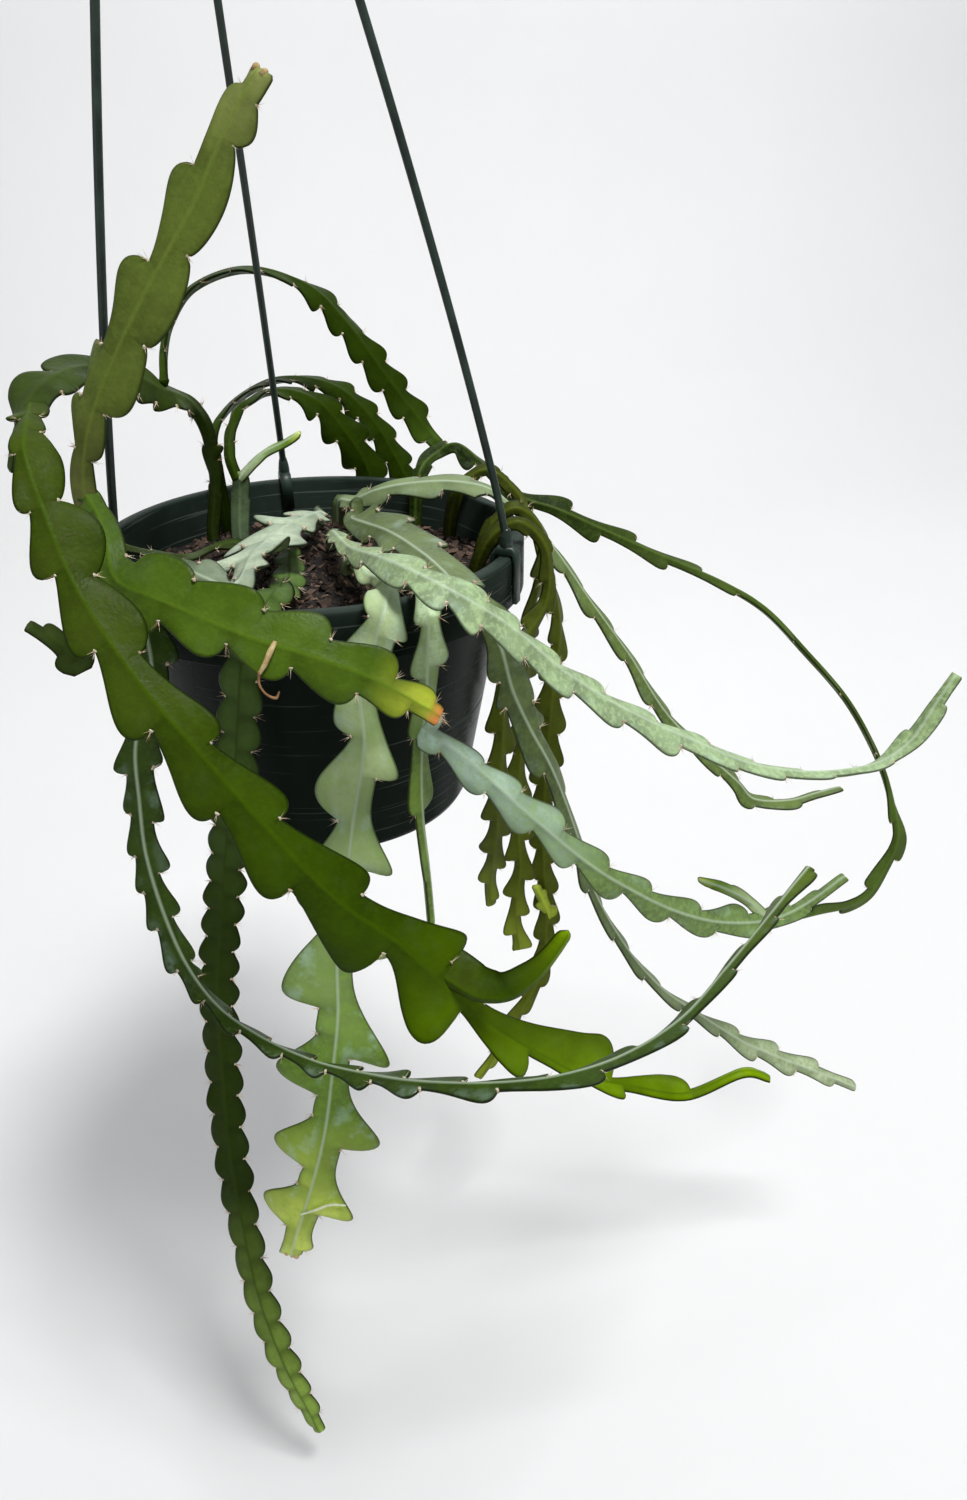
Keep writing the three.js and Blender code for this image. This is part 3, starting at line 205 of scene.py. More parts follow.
# %% Stem routes
STEMS = [
    dict(node="stem_arch_left", slot="stem_green", branches=[
        dict(skin="shade", pitch=[26], notch=0.45, left=[
            (60, 3, 3.2), (84, 3.5, 6), (96, 5, 8), (108, 6.5, 9.5), (120, 7.5, 10.5), (133, 8, 11),
            (146, 8, 10.5), (160, 8, 9.5), (190, 8, 8.5), (206, 5, 5), (218, 3, 4),
        ], right=[
            (60, 3, 3.2), (84, 3.5, 8), (150, 7, 12, 0.6), (178, 4, 15, 0.25), (212, 2.5, 3),
        ], route=[
            (-51, 60, -27, 0, 3), (-51, 60, -16, 0, 3), (-47, 58, 5, 0, 3.5), (-46, 55, 19, 0, 4),
            (-46, 48, 39, -20, 5), (-51, 33, 55, -25, 8), (-62, 14, 66, -15, 10), (-74, -4, 77, -10, 11),
            (-87, -22, 82, -5, 11.5), (-95, -40, 82, -5, 10), (-102, -52, 77, -20, 6),
            (-108, -60, 67, -50, 4.5), (-113, -64, 52, -60, 3),
        ]),
        dict(skin="mid", pitch=[26, 32, 38, 42, 46, 52], phase=0.9, offset=(-0.38, 1), notch=0.3,
             peak=(0.72, 0.72), lean=0.12, full=0.7,
             fold=[(300, 0.0), (330, 0.55), (410, 0.5), (440, 0.1)], left=[
            (12, 4, 6.5), (24, 5, 12, 0.42), (57, 6, 17, 0.36), (88, 7.5, 14.5, 0.5), (122, 6, 12),
            (164, 5, 12), (201, 5.5, 15), (245, 7, 19.5, 0.84), (292, 8.5, 10), (318, 5, 17),
            (404, 2.5, 10.5), (449, 1.5, 3),
        ], right=[
            (12, 3, 5), (37, 3, 8.5), (59, 4.5, 11), (83, 4.5, 13), (113, 6, 16), (147, 7.5, 18.5),
            (185, 10, 19), (224, 9.5, 22), (267, 6.5, 22.5), (311, 3, 14), (352, 2, 3), (386, 1.5, 7.5),
            (410, 1.5, 2.5), (449, 1.5, 2),
        ], route=[
            (-102, -56, 75, 0, 5), (-101, -78, 71, 20, 9), (-100, -92, 65, 25, 14),
            (-94, -106, 46, 25, 17), (-87, -118, 27, 20, 17), (-77, -130, 10, 15, 17),
            (-60, -146, -13, 10, 17), (-47, -155, -28, 0, 18), (-25, -168, -56, 0, 20),
            (-2, -177, -85, 0, 21), (20, -181, -106, 5, 22), (35, -182, -127, 5, 20),
            (46, -182, -142, 15, 12), (61, -181, -160, 30, 16), (79, -179, -179, 35, 17),
            (96, -177, -195, 40, 12), (120, -174, -209, 45, 9), (148, -172, -221, 50, 8),
            (176, -170, -214, 60, 4), (190, -168, -222, 60, 2),
        ]),
        dict(skin="mid", pitch=[120], notch=0.9, peak=(0.5, 0.5), lean=0, route=[
            (30, -178, -120, 0, 5), (39, -182, -126, -5, 10), (49, -188, -130, -10, 12.5),
            (60, -193, -127, -15, 12), (70, -196, -116, -20, 9), (76, -197, -106, -25, 5),
            (82, -197, -95, -25, 1.5),
        ]),
        dict(skin="deep", pitch=[19], notch=0.6, peak=(0.65, 0.65), route=[
            (-60, 17, 68, 30, 3), (-60, 36, 79, 60, 3), (-57, 56, 89, 60, 3.5), (-46, 80, 101, 60, 5),
            (-19, 104, 106, 60, 9), (10, 114, 95, 50, 11), (28, 119, 76, 40, 11), (45, 121, 52, 30, 11),
            (69, 120, 18, 30, 11), (76, 116, 10, 30, 5),
        ]),
    ]),
    dict(node="stem_upright", slot="stem_yellow_green", branches=[
        dict(skin="lime", pitch=[36], phase=0.42, offset=(0.58, 0.58), notch=0.4, peak=(0.35, 0.75),
             lean=0.05, full=0.68, left=[
            (62, 3.5, 6), (100, 5, 13), (119, 8.5, 15), (140, 8, 13.5), (176, 5, 13.5), (213, 6, 8.5),
            (243, 3.5, 3.5),
        ], right=[
            (62, 3.5, 4.5), (97, 2.5, 7), (118, 4, 14.5), (150, 8, 14), (186, 6, 10), (225, 4, 8.5),
            (240, 5, 6),
        ], route=[
            (-77, -34, -27, 0, 3.5), (-77, -34, -14, 0, 3.5), (-83, -37, 2, 0, 3.5),
            (-91, -43, 12, 0, 4), (-88, -62, 33, 0, 4.5), (-86, -64, 49, 0, 7), (-82, -65, 63, 10, 12),
            (-74, -67, 80, 10, 14), (-63, -70, 98, 5, 15), (-51, -72, 116, 0, 15.5),
            (-39, -73, 132, 0, 14), (-29, -73, 146, 0, 13), (-20, -73, 161, 0, 11.5),
            (-11, -72, 174, 10, 9), (-3, -71, 185, 10, 4),
        ]),
        dict(skin="bright", pitch=[27], phase=0.1, offset=(0.2, 0.2), peak=(0.62, 0.62), full=0.72, left=[
            (10, 4, 6), (35, 6, 17), (75, 11.5, 17), (105, 11, 16), (132, 8, 12), (159, 4, 7.5),
            (177, 4, 4),
        ], right=[
            (10, 4, 7), (44, 7, 14), (68, 7.5, 13.5), (96, 5.5, 13), (121, 6.5, 14), (148, 7.5, 9.5),
            (169, 4, 4),
        ], route=[
            (-87, -63, 42, 0, 4), (-82, -72, 36, 0, 6), (-78, -86, 28, 0, 11), (-75, -97, 18, 0, 15),
            (-61, -108, 14, 0, 17), (-44, -118, 9, 0, 17), (-28, -125, 3, 0, 17), (-6, -131, -4, 0, 16),
            (16, -135, -13, 0, 13), (32, -138, -23, 0, 10), (43, -139, -31, 0, 4),
        ]),
    ]),
    dict(node="stem_back_arch", slot="stem_green", branches=[
        dict(skin="deep", pitch=[17], notch=0.6, route=[
            (-44, 71, -27, 0, 3), (-44, 71, -16, 0, 3), (-46, 74, 14, 0, 3), (-46, 80, 30, 30, 3.5),
            (-40, 98, 37, 60, 5), (-28, 122, 42, 65, 8), (-13, 138, 45, 60, 9), (4, 147, 43, 50, 10),
            (24, 151, 35, 40, 11), (43, 154, 14, 30, 11), (56, 153, -10, 20, 10), (66, 148, -30, 0, 9),
            (73, 140, -66, 0, 4),
        ]),
    ]),
    dict(node="stem_back_stub", slot="stem_olive", branches=[
        dict(skin="olive", pitch=[14], notch=0.8, peak=(0.6, 0.6), lean=0, rib=1.6, route=[
            (-37, 60, -27, 0, 4.5), (-37, 60, -16, 0, 4.5), (-35, 60, 1, 0, 5), (-33, 58, 16, 0, 4.5),
        ]),
        dict(skin="deep", pitch=[20], notch=0.55, route=[
            (-35, 58, 12, 0, 2.5), (-38, 64, 23, 0, 2.5), (-33, 80, 40, 30, 4), (-25, 92, 44, 50, 6),
            (-16, 106, 45, 50, 8), (-1, 112, 42, 40, 10), (12, 115, 34, 30, 11), (24, 114, 19, 15, 12),
            (35, 114, -2, 5, 11), (36, 113, -28, 0, 9), (42, 112, -62, 0, 4),
        ]),
        dict(skin="fresh", pitch=[20], notch=0.7, rib=1.6, route=[
            (-34, 58, 12, 0, 2), (-21, 56, 24, 30, 3), (-9, 54, 30, 30, 3), (-1, 52, 35, 30, 1.5),
        ]),
    ]),
    dict(node="stem_left_short", slot="stem_olive", branches=[
        dict(skin="shade", pitch=[24], notch=0.55, rib=1.6, route=[
            (-36, 38, -27, 0, 2.5), (-36, 38, -17, 0, 2.5), (-45, 25, -12, -30, 4), (-60, 0, -8, -60, 7),
            (-75, -9, -2, -60, 8), (-86, -20, 6, -60, 7), (-103, -15, 9, -60, 6), (-111, -22, 0, -30, 6),
            (-106, -32, -19, -20, 7), (-105, -40, -31, -20, 8), (-107, -46, -36, -30, 8),
            (-113, -50, -27, -40, 8.5), (-123, -54, -15, -40, 3),
        ]),
    ]),
    dict(node="stem_left_long", slot="stem_grey_green", branches=[
        dict(skin="two_tone", pitch=[17, 19, 19, 19, 24, 34, 44, 44], phase=0.2, notch=0.35,
             peak=(0.76, 0.76), lean=0.12, full=0.75, left=[
            (40, 4, 10), (66, 6, 18), (108, 8, 19), (132, 6, 9.5), (151, 4.5, 7), (172, 4.5, 7),
            (195, 5.5, 9), (218, 5.5, 10), (240, 5.5, 10), (262, 6, 9.5), (288, 6.5, 9.5), (314, 4.5, 8),
            (339, 3, 7), (361, 3, 7), (383, 3.5, 7),
        ], right=[
            (28, 5, 12), (50, 6, 18.5), (71, 9, 23), (101, 11.5, 23), (126, 10, 13.5), (146, 6, 11),
            (168, 5, 10), (190, 5.5, 10), (212, 5.5, 10), (234, 5.5, 10), (255, 5, 9.5), (273, 4.5, 9.5),
            (292, 4.5, 8), (311, 4.5, 8), (330, 5, 8), (347, 5, 8), (364, 4.5, 8), (384, 4.5, 7),
        ], route=[
            (-1, 54, -27, 0, 3), (-1, 54, -17, 0, 3), (5, 46, -6, -10, 5), (-5, 19, 0, -12, 12),
            (-15, -7, 3, -15, 16), (-25, -45, 6, -20, 18), (-34, -93, 10, -25, 17),
            (-55, -82, 14, -25, 12), (-66, -95, 6, 0, 9), (-67, -101, -20, 0, 10),
            (-74, -101, -39, 0, 10), (-79, -101, -55, 0, 10), (-81, -102, -78, 0, 10),
            (-82, -105, -102, 0, 9.5), (-79, -111, -130, 20, 9), (-72, -122, -153, 50, 8),
            (-60, -136, -167, 72, 7), (-43, -152, -172, 78, 7), (-20, -172, -171, 80, 7),
            (4, -196, -159, 80, 7.5), (25, -220, -142, 80, 8), (49, -236, -130, 80, 8),
            (69, -242, -124, 78, 8), (92, -238, -123, 78, 7), (120, -222, -125, 80, 6),
            (151, -192, -129, 80, 5), (181, -162, -131, 80, 5), (202, -140, -133, 70, 7),
            (215, -128, -132, 60, 3),
        ]),
    ]),
    dict(node="stem_front_fine", slot="stem_dark", branches=[
        dict(skin="dark", pitch=[19, 19, 19, 18, 15, 16, 18.5, 20, 22, 19.5, 17], phase=0.6,
             offset=(0.4, 0.4), notch=0.66, peak=(0.57, 0.57), lean=0.06, route=[
            (-13, 18, -27, 0, 3), (-13, 18, -15, 0, 3), (-12, 7, -10, 20, 5), (-12, -34, -10, 20, 8),
            (-15, -64, -6, 20, 7), (-17, -92, 6, 10, 7), (-25, -110, 0, 0, 8.5), (-31, -112, -15, 0, 9),
            (-35, -108, -37, 0, 9.2), (-41, -104, -71, 0, 9.2), (-48, -101, -103, 0, 9.2),
            (-54, -100, -136, 0, 9.2), (-62, -101, -181, 0, 9.2), (-66, -104, -230, 0, 9.2),
            (-68, -112, -277, 0, 9), (-67, -121, -319, 0, 8.8), (-63, -134, -372, 0, 8.4),
            (-54, -144, -421, 0, 8), (-45, -148, -458, 0, 6.5), (-40, -150, -480, 0, 3),
        ]),
    ]),
    dict(node="stem_front_broad", slot="stem_yellow_green", branches=[
        dict(skin="fresh", pitch=[42, 42, 48, 48, 36], phase=0.5, offset=(0.6, 0.6), notch=0.2,
             peak=(0.62, 0.84), lean=0.12, full=1, left=[
            (80, 3, 5), (105, 4, 10.8), (128, 7, 12), (153, 6, 14.5), (191, 6, 19), (234, 5, 23),
            (278, 6, 25), (327, 6.5, 25.5), (377, 8.5, 23), (416, 7, 9), (440, 5, 4),
        ], right=[
            (68, 3, 4), (90, 3, 8.8), (122, 5.5, 12), (146, 6, 12), (173, 5.5, 19), (213, 6.5, 22),
            (262, 7, 25), (303, 9, 9.5), (316, 9, 27), (349, 6, 7), (361, 7, 23.5), (392, 6, 7),
            (402, 7, 21.5), (428, 6, 6),
        ], route=[
            (15, -10, -27, 0, 3), (15, -10, -15, 0, 3), (18, -20, -8, 20, 3.5), (23, -44, -7, 20, 5),
            (27, -76, 2, 10, 6), (28, -99, 6, 10, 6), (25, -111, 1, 0, 8), (21, -113, -10, 0, 11),
            (14, -114, -29, 0, 15), (14, -116, -53, 0, 16), (7, -120, -87, 0, 18),
            (1, -125, -119, 0, 21), (-5, -132, -151, 0, 24), (-7, -138, -178, 0, 26),
            (-12, -144, -207, 0, 27), (-18, -148, -239, 0, 25), (-26, -152, -267, 0, 22),
            (-36, -156, -296, 0, 14), (-41, -157, -312, 0, 6),
        ]),
    ]),
    dict(node="stem_front_thin", slot="stem_grey_green", branches=[
        dict(skin="fresh_dusty", pitch=[30, 40, 50, 70], phase=0.25, peak=(0.75, 0.75), left=[
            (62, 3, 4.5), (84, 3, 5), (98, 4, 8.6), (119, 5, 6.5), (150, 4, 9.5), (190, 3, 4),
            (225, 2.5, 3),
        ], right=[
            (62, 3, 4.5), (84, 3, 5.8), (101, 3, 6.6), (125, 3, 6.5), (153, 4, 6.9), (190, 3, 4),
            (225, 2.5, 3),
        ], route=[
            (32, -32, -27, 0, 2.5), (32, -32, -15, 0, 2.5), (34, -41, -8, 0, 3), (39, -60, -6, 0, 4),
            (42, -80, 3, 0, 3.5), (42, -98, 6, 0, 4.6), (43, -108, -2, 0, 6.5), (42, -108, -19, 10, 7.5),
            (40, -106, -40, 40, 8), (37, -106, -66, 50, 7), (36, -108, -96, 60, 7),
            (38, -110, -129, 75, 5), (39, -111, -155, 75, 3),
        ]),
        dict(skin="dusty", pitch=[31], phase=0.43, offset=(0.33, 0.33), notch=0.55, peak=(0.68, 0.68),
             full=0.75, left=[
            (6, 3, 5), (30, 3, 7.5), (51, 5, 10), (80, 4.5, 8), (115, 3.5, 7.5), (146, 3.5, 7.5),
            (184, 3.5, 9), (220, 4, 7), (252, 3, 4),
        ], right=[
            (12, 4, 10), (39, 5.5, 10), (67, 4, 9), (97, 3.5, 9.5), (130, 3, 9), (164, 3.5, 9),
            (198, 5, 8), (233, 4.5, 5),
        ], route=[
            (39, -106, -52, 0, 4), (44, -109, -56, 0, 8), (58, -116, -66, 0, 9.5),
            (75, -122, -83, 0, 10), (93, -122, -103, 0, 10.5), (112, -119, -124, 0, 10.5),
            (132, -116, -142, 0, 10.5), (158, -110, -163, 0, 10), (186, -102, -180, 0, 9),
            (218, -92, -191, 15, 7), (240, -84, -191, 30, 5), (265, -76, -181, 30, 2),
        ]),
        dict(skin="fresh", pitch=[30], notch=0.6, peak=(0.75, 0.75), rib=1.6, route=[
            (216, -92, -190, 0, 2), (203, -90, -177, 0, 3.5), (189, -89, -168, 0, 2.5),
            (177, -88, -163, 0, 1),
        ]),
    ]),
    dict(node="stem_right_broad", slot="stem_grey_green", branches=[
        dict(skin="sage", pitch=[40, 44, 44, 44, 40, 36, 32], phase=0.4, peak=(0.75, 0.75), full=0.7,
             left=[
            (33, 4, 12), (58, 9.5, 14.4), (86, 11, 14), (128, 9.5, 15.6), (165, 8.5, 12),
            (200, 6.5, 9.5), (239, 7, 9),
        ], right=[
            (35, 4, 9), (73, 6, 10.6), (108, 6, 8), (135, 4.5, 6), (160, 4, 6), (187, 3.5, 8),
            (218, 4, 8.5),
        ], route=[
            (22, 50, -27, 0, 3), (22, 50, -15, 0, 3), (26, 40, -7, 50, 7), (21, 27, -3, 15, 9),
            (35, -11, 2, 15, 14), (45, -52, 6, 20, 14), (51, -75, 6, 28, 12), (55, -87, 4, 30, 10),
            (59, -98, 1, 25, 9), (64, -105, -4, 20, 10), (72, -104, -18, 10, 11), (79, -98, -43, 10, 11),
            (88, -92, -66, 20, 10), (97, -88, -86, 40, 9), (105, -84, -107, 50, 8),
            (116, -78, -141, 60, 7), (127, -72, -177, 60, 7), (149, -66, -223, 60, 6),
            (173, -62, -259, 60, 6), (200, -60, -286, 50, 5), (231, -58, -314, 30, 8),
            (264, -56, -337, 20, 8), (290, -56, -353, 10, 6), (313, -56, -368, 10, 2),
        ]),
    ]),
    dict(node="stem_right_long", slot="stem_grey_green", branches=[
        dict(skin="silver", pitch=[34, 34, 30, 27, 27, 40], phase=0.1, notch=0.6, peak=(0.72, 0.72),
             lean=0.12, full=0.7, left=[
            (55, 2.5, 4.5), (92, 2.5, 5), (128, 2.5, 7), (165, 4, 9.7), (196, 5, 7.4), (214, 2.5, 6),
            (238, 2.5, 7.5), (264, 3.5, 8), (294, 3.5, 8),
        ], right=[
            (55, 3, 5), (85, 3.5, 7.1), (118, 4.3, 8.2), (163, 5, 10), (181, 5, 11.4), (196, 6.5, 10.5),
            (221, 6.4, 9.6), (248, 5, 9), (275, 5.5, 10), (306, 5, 8),
        ], route=[
            (10, 29, -27, 0, 3), (10, 29, -15, 0, 3), (10, 18, -7, 30, 4), (17, -39, 4, 10, 6),
            (28, -90, 16, 12, 7), (38, -113, 18, 18, 8.5), (48, -123, 15, 25, 9.5),
            (62, -125, 6, 30, 10), (77, -122, -7, 30, 9.5), (93, -121, -23, 30, 9),
            (114, -120, -40, 40, 8.5), (138, -118, -56, 45, 8.5), (160, -116, -69, 50, 8),
            (185, -113, -83, 55, 7), (213, -110, -92, 60, 5), (239, -107, -95, 70, 3.5),
            (256, -105, -93, 60, 4), (270, -102, -84, 30, 7), (280, -99, -68, 30, 5),
            (289, -97, -54, 40, 2),
        ]),
    ]),
    dict(node="stem_right_over", slot="stem_grey_green", branches=[
        dict(skin="moss", pitch=[28], phase=0.2, notch=0.55, route=[
            (15, 72, -27, 0, 3), (15, 71, -16, 0, 3), (17, 66, -5, 0, 4), (23, 56, -3, 30, 6),
            (35, 45, 5, 35, 8), (54, 37, 10, 35, 9), (73, 32, 11, 35, 9), (88, 26, 9, 40, 8.5),
            (97, 11, 5, 70, 4.5), (107, 1, -2, 70, 4.4), (118, -5, -16, 50, 6.5),
            (134, -10, -40, 55, 7.5), (155, -18, -70, 55, 8), (173, -27, -99, 50, 8),
            (194, -32, -122, 50, 7.5), (215, -36, -142, 50, 7), (224, -38, -152, 50, 7),
            (247, -38, -156, 60, 6), (262, -38, -153, 60, 4), (276, -38, -150, 60, 1.5),
        ]),
    ]),
    dict(node="stem_right_far", slot="stem_green", branches=[
        dict(skin="ink", pitch=[36, 40, 46, 52, 46], phase=0.2, notch=0.35, peak=(0.8, 0.8), lean=0.12,
             route=[
            (56, 62, -27, 0, 3), (56, 62, -16, 0, 3), (60, 69, 7, 0, 4), (72, 84, 13, 30, 9),
            (82, 84, 17, 50, 10), (92, 80, 10, 50, 10), (103, 74, 0, 40, 6), (115, 68, -9, 10, 8),
            (134, 62, -15, 10, 9), (158, 56, -26, 20, 8), (192, 50, -42, 30, 7), (229, 44, -59, 50, 6),
            (252, 38, -73, 60, 6), (279, 34, -100, 70, 5), (308, 30, -132, 70, 4.5),
            (327, 26, -161, 70, 4), (338, 22, -183, 60, 4), (346, 16, -208, 30, 5),
            (348, 10, -224, 10, 9), (342, 6, -242, 10, 8), (330, 0, -257, 20, 8), (312, -6, -260, 40, 6),
            (293, -10, -259, 40, 7), (276, -14, -258, 40, 3),
        ]),
    ]),
    dict(node="stem_bunch_a", slot="stem_dark", branches=[
        dict(skin="bunch", pitch=[27], notch=0.4, peak=(0.78, 0.78), lean=0.12, route=[
            (74, -28, -27, 0, 3), (74, -28, -16, 0, 3), (82, -31, 3, 0, 3.5), (94, -33, 10, 0, 4),
            (106, -35, -2, 20, 4), (106, -38, -28, 30, 6), (84, -58, -50, 30, 7), (81, -60, -85, 30, 8),
            (80, -58, -118, 20, 8), (80, -50, -153, 10, 8), (79, -38, -190, 0, 6), (80, -36, -206, 0, 2),
        ]),
    ]),
    dict(node="stem_bunch_b", slot="stem_dark", branches=[
        dict(skin="bunch", pitch=[26], phase=0.3, notch=0.35, peak=(0.8, 0.8), lean=0.12, route=[
            (79, -11, -27, 0, 3), (79, -11, -16, 0, 3), (86, -11, 3, 0, 3.5), (97, -12, 10, 0, 4),
            (109, -13, -2, 50, 5), (106, -6, -50, 50, 7), (105, 4, -95, 40, 8), (103, 4, -138, 20, 9),
            (102, 4, -178, 10, 9), (104, 2, -208, 0, 9), (101, 0, -243, 0, 8), (103, -2, -269, 10, 8),
        ]),
    ]),
    dict(node="stem_bunch_c", slot="stem_dark", branches=[
        dict(skin="bunch", pitch=[22], phase=0.1, route=[
            (72, 42, -27, 0, 3), (72, 42, -16, 0, 3), (79, 45, 6, 0, 3.5), (93, 46, 13, 0, 3.5),
            (108, 42, 0, 30, 4), (122, 36, -34, 50, 5), (129, 30, -70, 50, 7), (126, 26, -101, 20, 9),
            (124, 24, -138, 0, 10), (122, 22, -178, 0, 9), (122, 20, -220, 0, 8), (124, 16, -263, 0, 8),
            (119, 10, -302, 10, 7), (103, 4, -328, 20, 6), (90, 0, -352, 20, 6), (76, -4, -371, 20, 3),
        ]),
        dict(skin="shoot", pitch=[16], peak=(0.75, 0.75), rib=1.6, route=[
            (124, 16, -269, 0, 3), (125, 16, -257, 0, 6), (120, 15, -244, 0, 5), (116, 14, -233, 0, 2),
        ]),
    ]),
]
print("leafy stems:", sum(len(stem["branches"]) for stem in STEMS))

# %% [markdown]
# ## A smooth line through a route
# A centripetal spline passes through every point and doesn't overshoot at sharp turns, such as where a stem
# bends over the pot's rim. Its length is measured along the way, so that lobes are spaced by real distance.

# %% Stem line
VIEW_FACE = np.array([-0.15, -0.85, 0.5])
VIEW_FACE /= np.linalg.norm(VIEW_FACE)
SAMPLES_PER_SPAN = 24
DEFAULTS = {
    "pitch": [24],
    "phase": 0,
    "offset": [0.5, 0.5],
    "notch": 0.5,
    "peak": [0.7, 0.7],
    "lean": 0.1,
    "rib": 2,
    "full": 0.8,
    "fold": [(0, 0)],
    "left": [],
    "right": [],
}
ROOT_DEPTH = -27
LEAST_REACH = 2.5
LOBE_ROOM = 6
DIRECTION_STEP = 2


def spline(points):
    points = np.asarray(points, dtype=float)
    line = []
    for i in range(len(points) - 1):
        start, end = points[i], points[i + 1]
        before = points[i - 1] if i > 0 else 2 * start - end
        after = points[i + 2] if i + 2 < len(points) else 2 * end - start
        gaps = [np.linalg.norm(b - a) ** 0.5 for a, b in ((before, start), (start, end), (end, after))]
        leave = (start - before) / gaps[0] - (end - before) / (gaps[0] + gaps[1]) + (end - start) / gaps[1]
        arrive = (end - start) / gaps[1] - (after - start) / (gaps[1] + gaps[2]) + (after - end) / gaps[2]
        leave = leave * gaps[1]
        arrive = arrive * gaps[1]
        for step in range(SAMPLES_PER_SPAN):
            t = step / SAMPLES_PER_SPAN
            line.append(
                (2 * t**3 - 3 * t**2 + 1) * start + (t**3 - 2 * t**2 + t) * leave
                + (3 * t**2 - 2 * t**3) * end + (t**3 - t**2) * arrive
            )
    line.append(points[-1])
    return np.array(line)


class StemLine:
    """A stem's rib line, with its lobes' spacing measured along it."""

    def __init__(self, branch):
        for key, value in {**DEFAULTS, **branch}.items():
            setattr(self, key, value)
        route = np.array(self.route, dtype=float)
        self.line = spline(route[:, :3])
        steps = np.linalg.norm(np.diff(self.line, axis=0), axis=1)
        self.arcs = np.concatenate([[0], np.cumsum(steps)])
        self.length = self.arcs[-1]
        self.marks = self.arcs[::SAMPLES_PER_SPAN]
        self.turns = route[:, 3]
        self.reaches = route[:, 4]
        shares = np.linspace(0, 1, len(self.pitch)) if len(self.pitch) > 1 else [0]
        pitches = np.interp(self.arcs / self.length, shares, self.pitch)
        self.phases = np.concatenate([[0], np.cumsum(2 * steps / (pitches[1:] + pitches[:-1]))])
        self.pairs = self.phases[-1]

    def at(self, u):
        """Centre, outward and sideways directions at lengths u, as arrays."""
        def place(where):
            where = np.clip(where, 0, self.length)
            return np.stack([np.interp(where, self.arcs, self.line[:, k]) for k in range(3)], axis=-1)

        along = place(u + DIRECTION_STEP) - place(u - DIRECTION_STEP)
        along /= np.linalg.norm(along, axis=-1, keepdims=True)
        face = VIEW_FACE - along * (along @ VIEW_FACE)[..., None]
        face /= np.linalg.norm(face, axis=-1, keepdims=True)
        across = np.cross(face, along)
        turn = np.radians(np.interp(u, self.marks, self.turns))[..., None]
        out = np.cos(turn) * face + np.sin(turn) * across
        side = np.cos(turn) * across - np.sin(turn) * face
        return place(u), out, side

    def reach(self, u):
        return np.interp(u, self.marks, self.reaches)

    def fold_at(self, u):
        return np.interp(u, *zip(*self.fold))

    def length_at(self, phase):
        inside = np.clip(phase, 0, self.pairs)
        pitch = np.where(phase < 0, self.pitch[0], self.pitch[-1])
        return np.interp(inside, self.phases, self.arcs) + (phase - inside) * pitch

    def regular_lobes(self, sign):
        """Lobes in step with the pitch: where each starts, the blade's reach there, the lobe's own reach."""
        first, last = (0, 0) if sign < 0 else self.offset
        grow = 1 + (last - first) / self.pairs
        counts = self.phase - 2 + np.arange(int(self.pairs) + 5)
        starts = self.length_at(counts * grow + first)
        necks = self.reach(starts[:-1]) * self.notch
        reaches = self.reach((starts[:-1] + 4 * starts[1:]) / 5)
        return [tuple(lobe) for lobe in zip(starts[:-1], necks, reaches)]

    def lobes(self, sign):
        """The lobes of one edge. Those in its list take the place of the regular ones."""
        listed = self.right if sign < 0 else self.left
        lobes = self.regular_lobes(sign)
        if listed:
            before = [lobe for lobe in lobes if lobe[0] < listed[0][0] - LOBE_ROOM]
            after = [lobe for lobe in lobes if lobe[0] > listed[-1][0] + LOBE_ROOM]
            lobes = before + listed + after
        peak = self.peak[0 if sign < 0 else 1]
        return np.array([(*lobe, peak)[:4] for lobe in lobes])

    def edge(self, u, sign):
        """At lengths u: which lobe, how far the edge stands out, its lean along the stem, and its height."""
        starts, necks, reaches, peaks = self.lobes(sign).T
        number = np.clip(np.searchsorted(starts, u, side="right") - 1, 0, len(starts) - 2)
        size = starts[number + 1] - starts[number]
        within = np.clip((u - starts[number]) / size, 0, 1)
        power = math.log(0.5) / np.log(peaks[number])
        height = np.clip(np.sin(np.pi * within**power), 0, 1) ** self.full
        base = necks[number] + (necks[number + 1] - necks[number]) * within
        width = base + (reaches[number] - base) * height
        width = np.maximum(width, np.minimum(self.reach(u), LEAST_REACH))
        foot = self.in_foot(u)
        width = np.where(foot, self.reach(u), width)
        height = np.where(foot, 0, height)
        return number, width, self.lean * height * size, height

    def in_foot(self, u):
        """Whether a length lies in the plain foot with which a stem stands in the soil."""
        return u < (self.marks[2] if self.line[0][2] == ROOT_DEPTH else 0) + 1


for stem in STEMS:
    for branch in stem["branches"]:
        branch["line"] = StemLine(branch)
lengths = [branch["line"].length for stem in STEMS for branch in stem["branches"]]
print("stem length in all, m:", round(sum(lengths) / 1000, 2))

# %% [markdown]
# ## The blade
# A real blade is thickest at its rib and thins to a rounded margin, each lobe leans towards the tip, and no
# lobe lies quite flat. Rows of points cross the blade along the lobes' own slanted veins, so that the notches
# stay crisp without a dense mesh. The points also carry how near they are to the margin, the rib, the tip of
# the stem and the middle of a lobe, for the finish.

# %% Blade builder
ACROSS = [0.0, 0.1, 0.24, 0.45, 0.7, 0.9, 1.0]
MARGIN_HALF = 0.55
MARGIN_BULGE = 0.45
MARGIN_MARK = 1.08
RIDGE_WIDTH = 1.5
ROW_STEP = 1.3
NOTCH_SHIFTS = (-0.35, 0.0, 0.35)
LEAST_ROW_GAP = 0.12
CURL = 0.26
DOME = 0.13
FLAT_BELOW = 4
DOMED_FROM = 10
TIP_LENGTH = 3.0
LEAST_TAPER = 0.12
LOBE_COUNT = 200


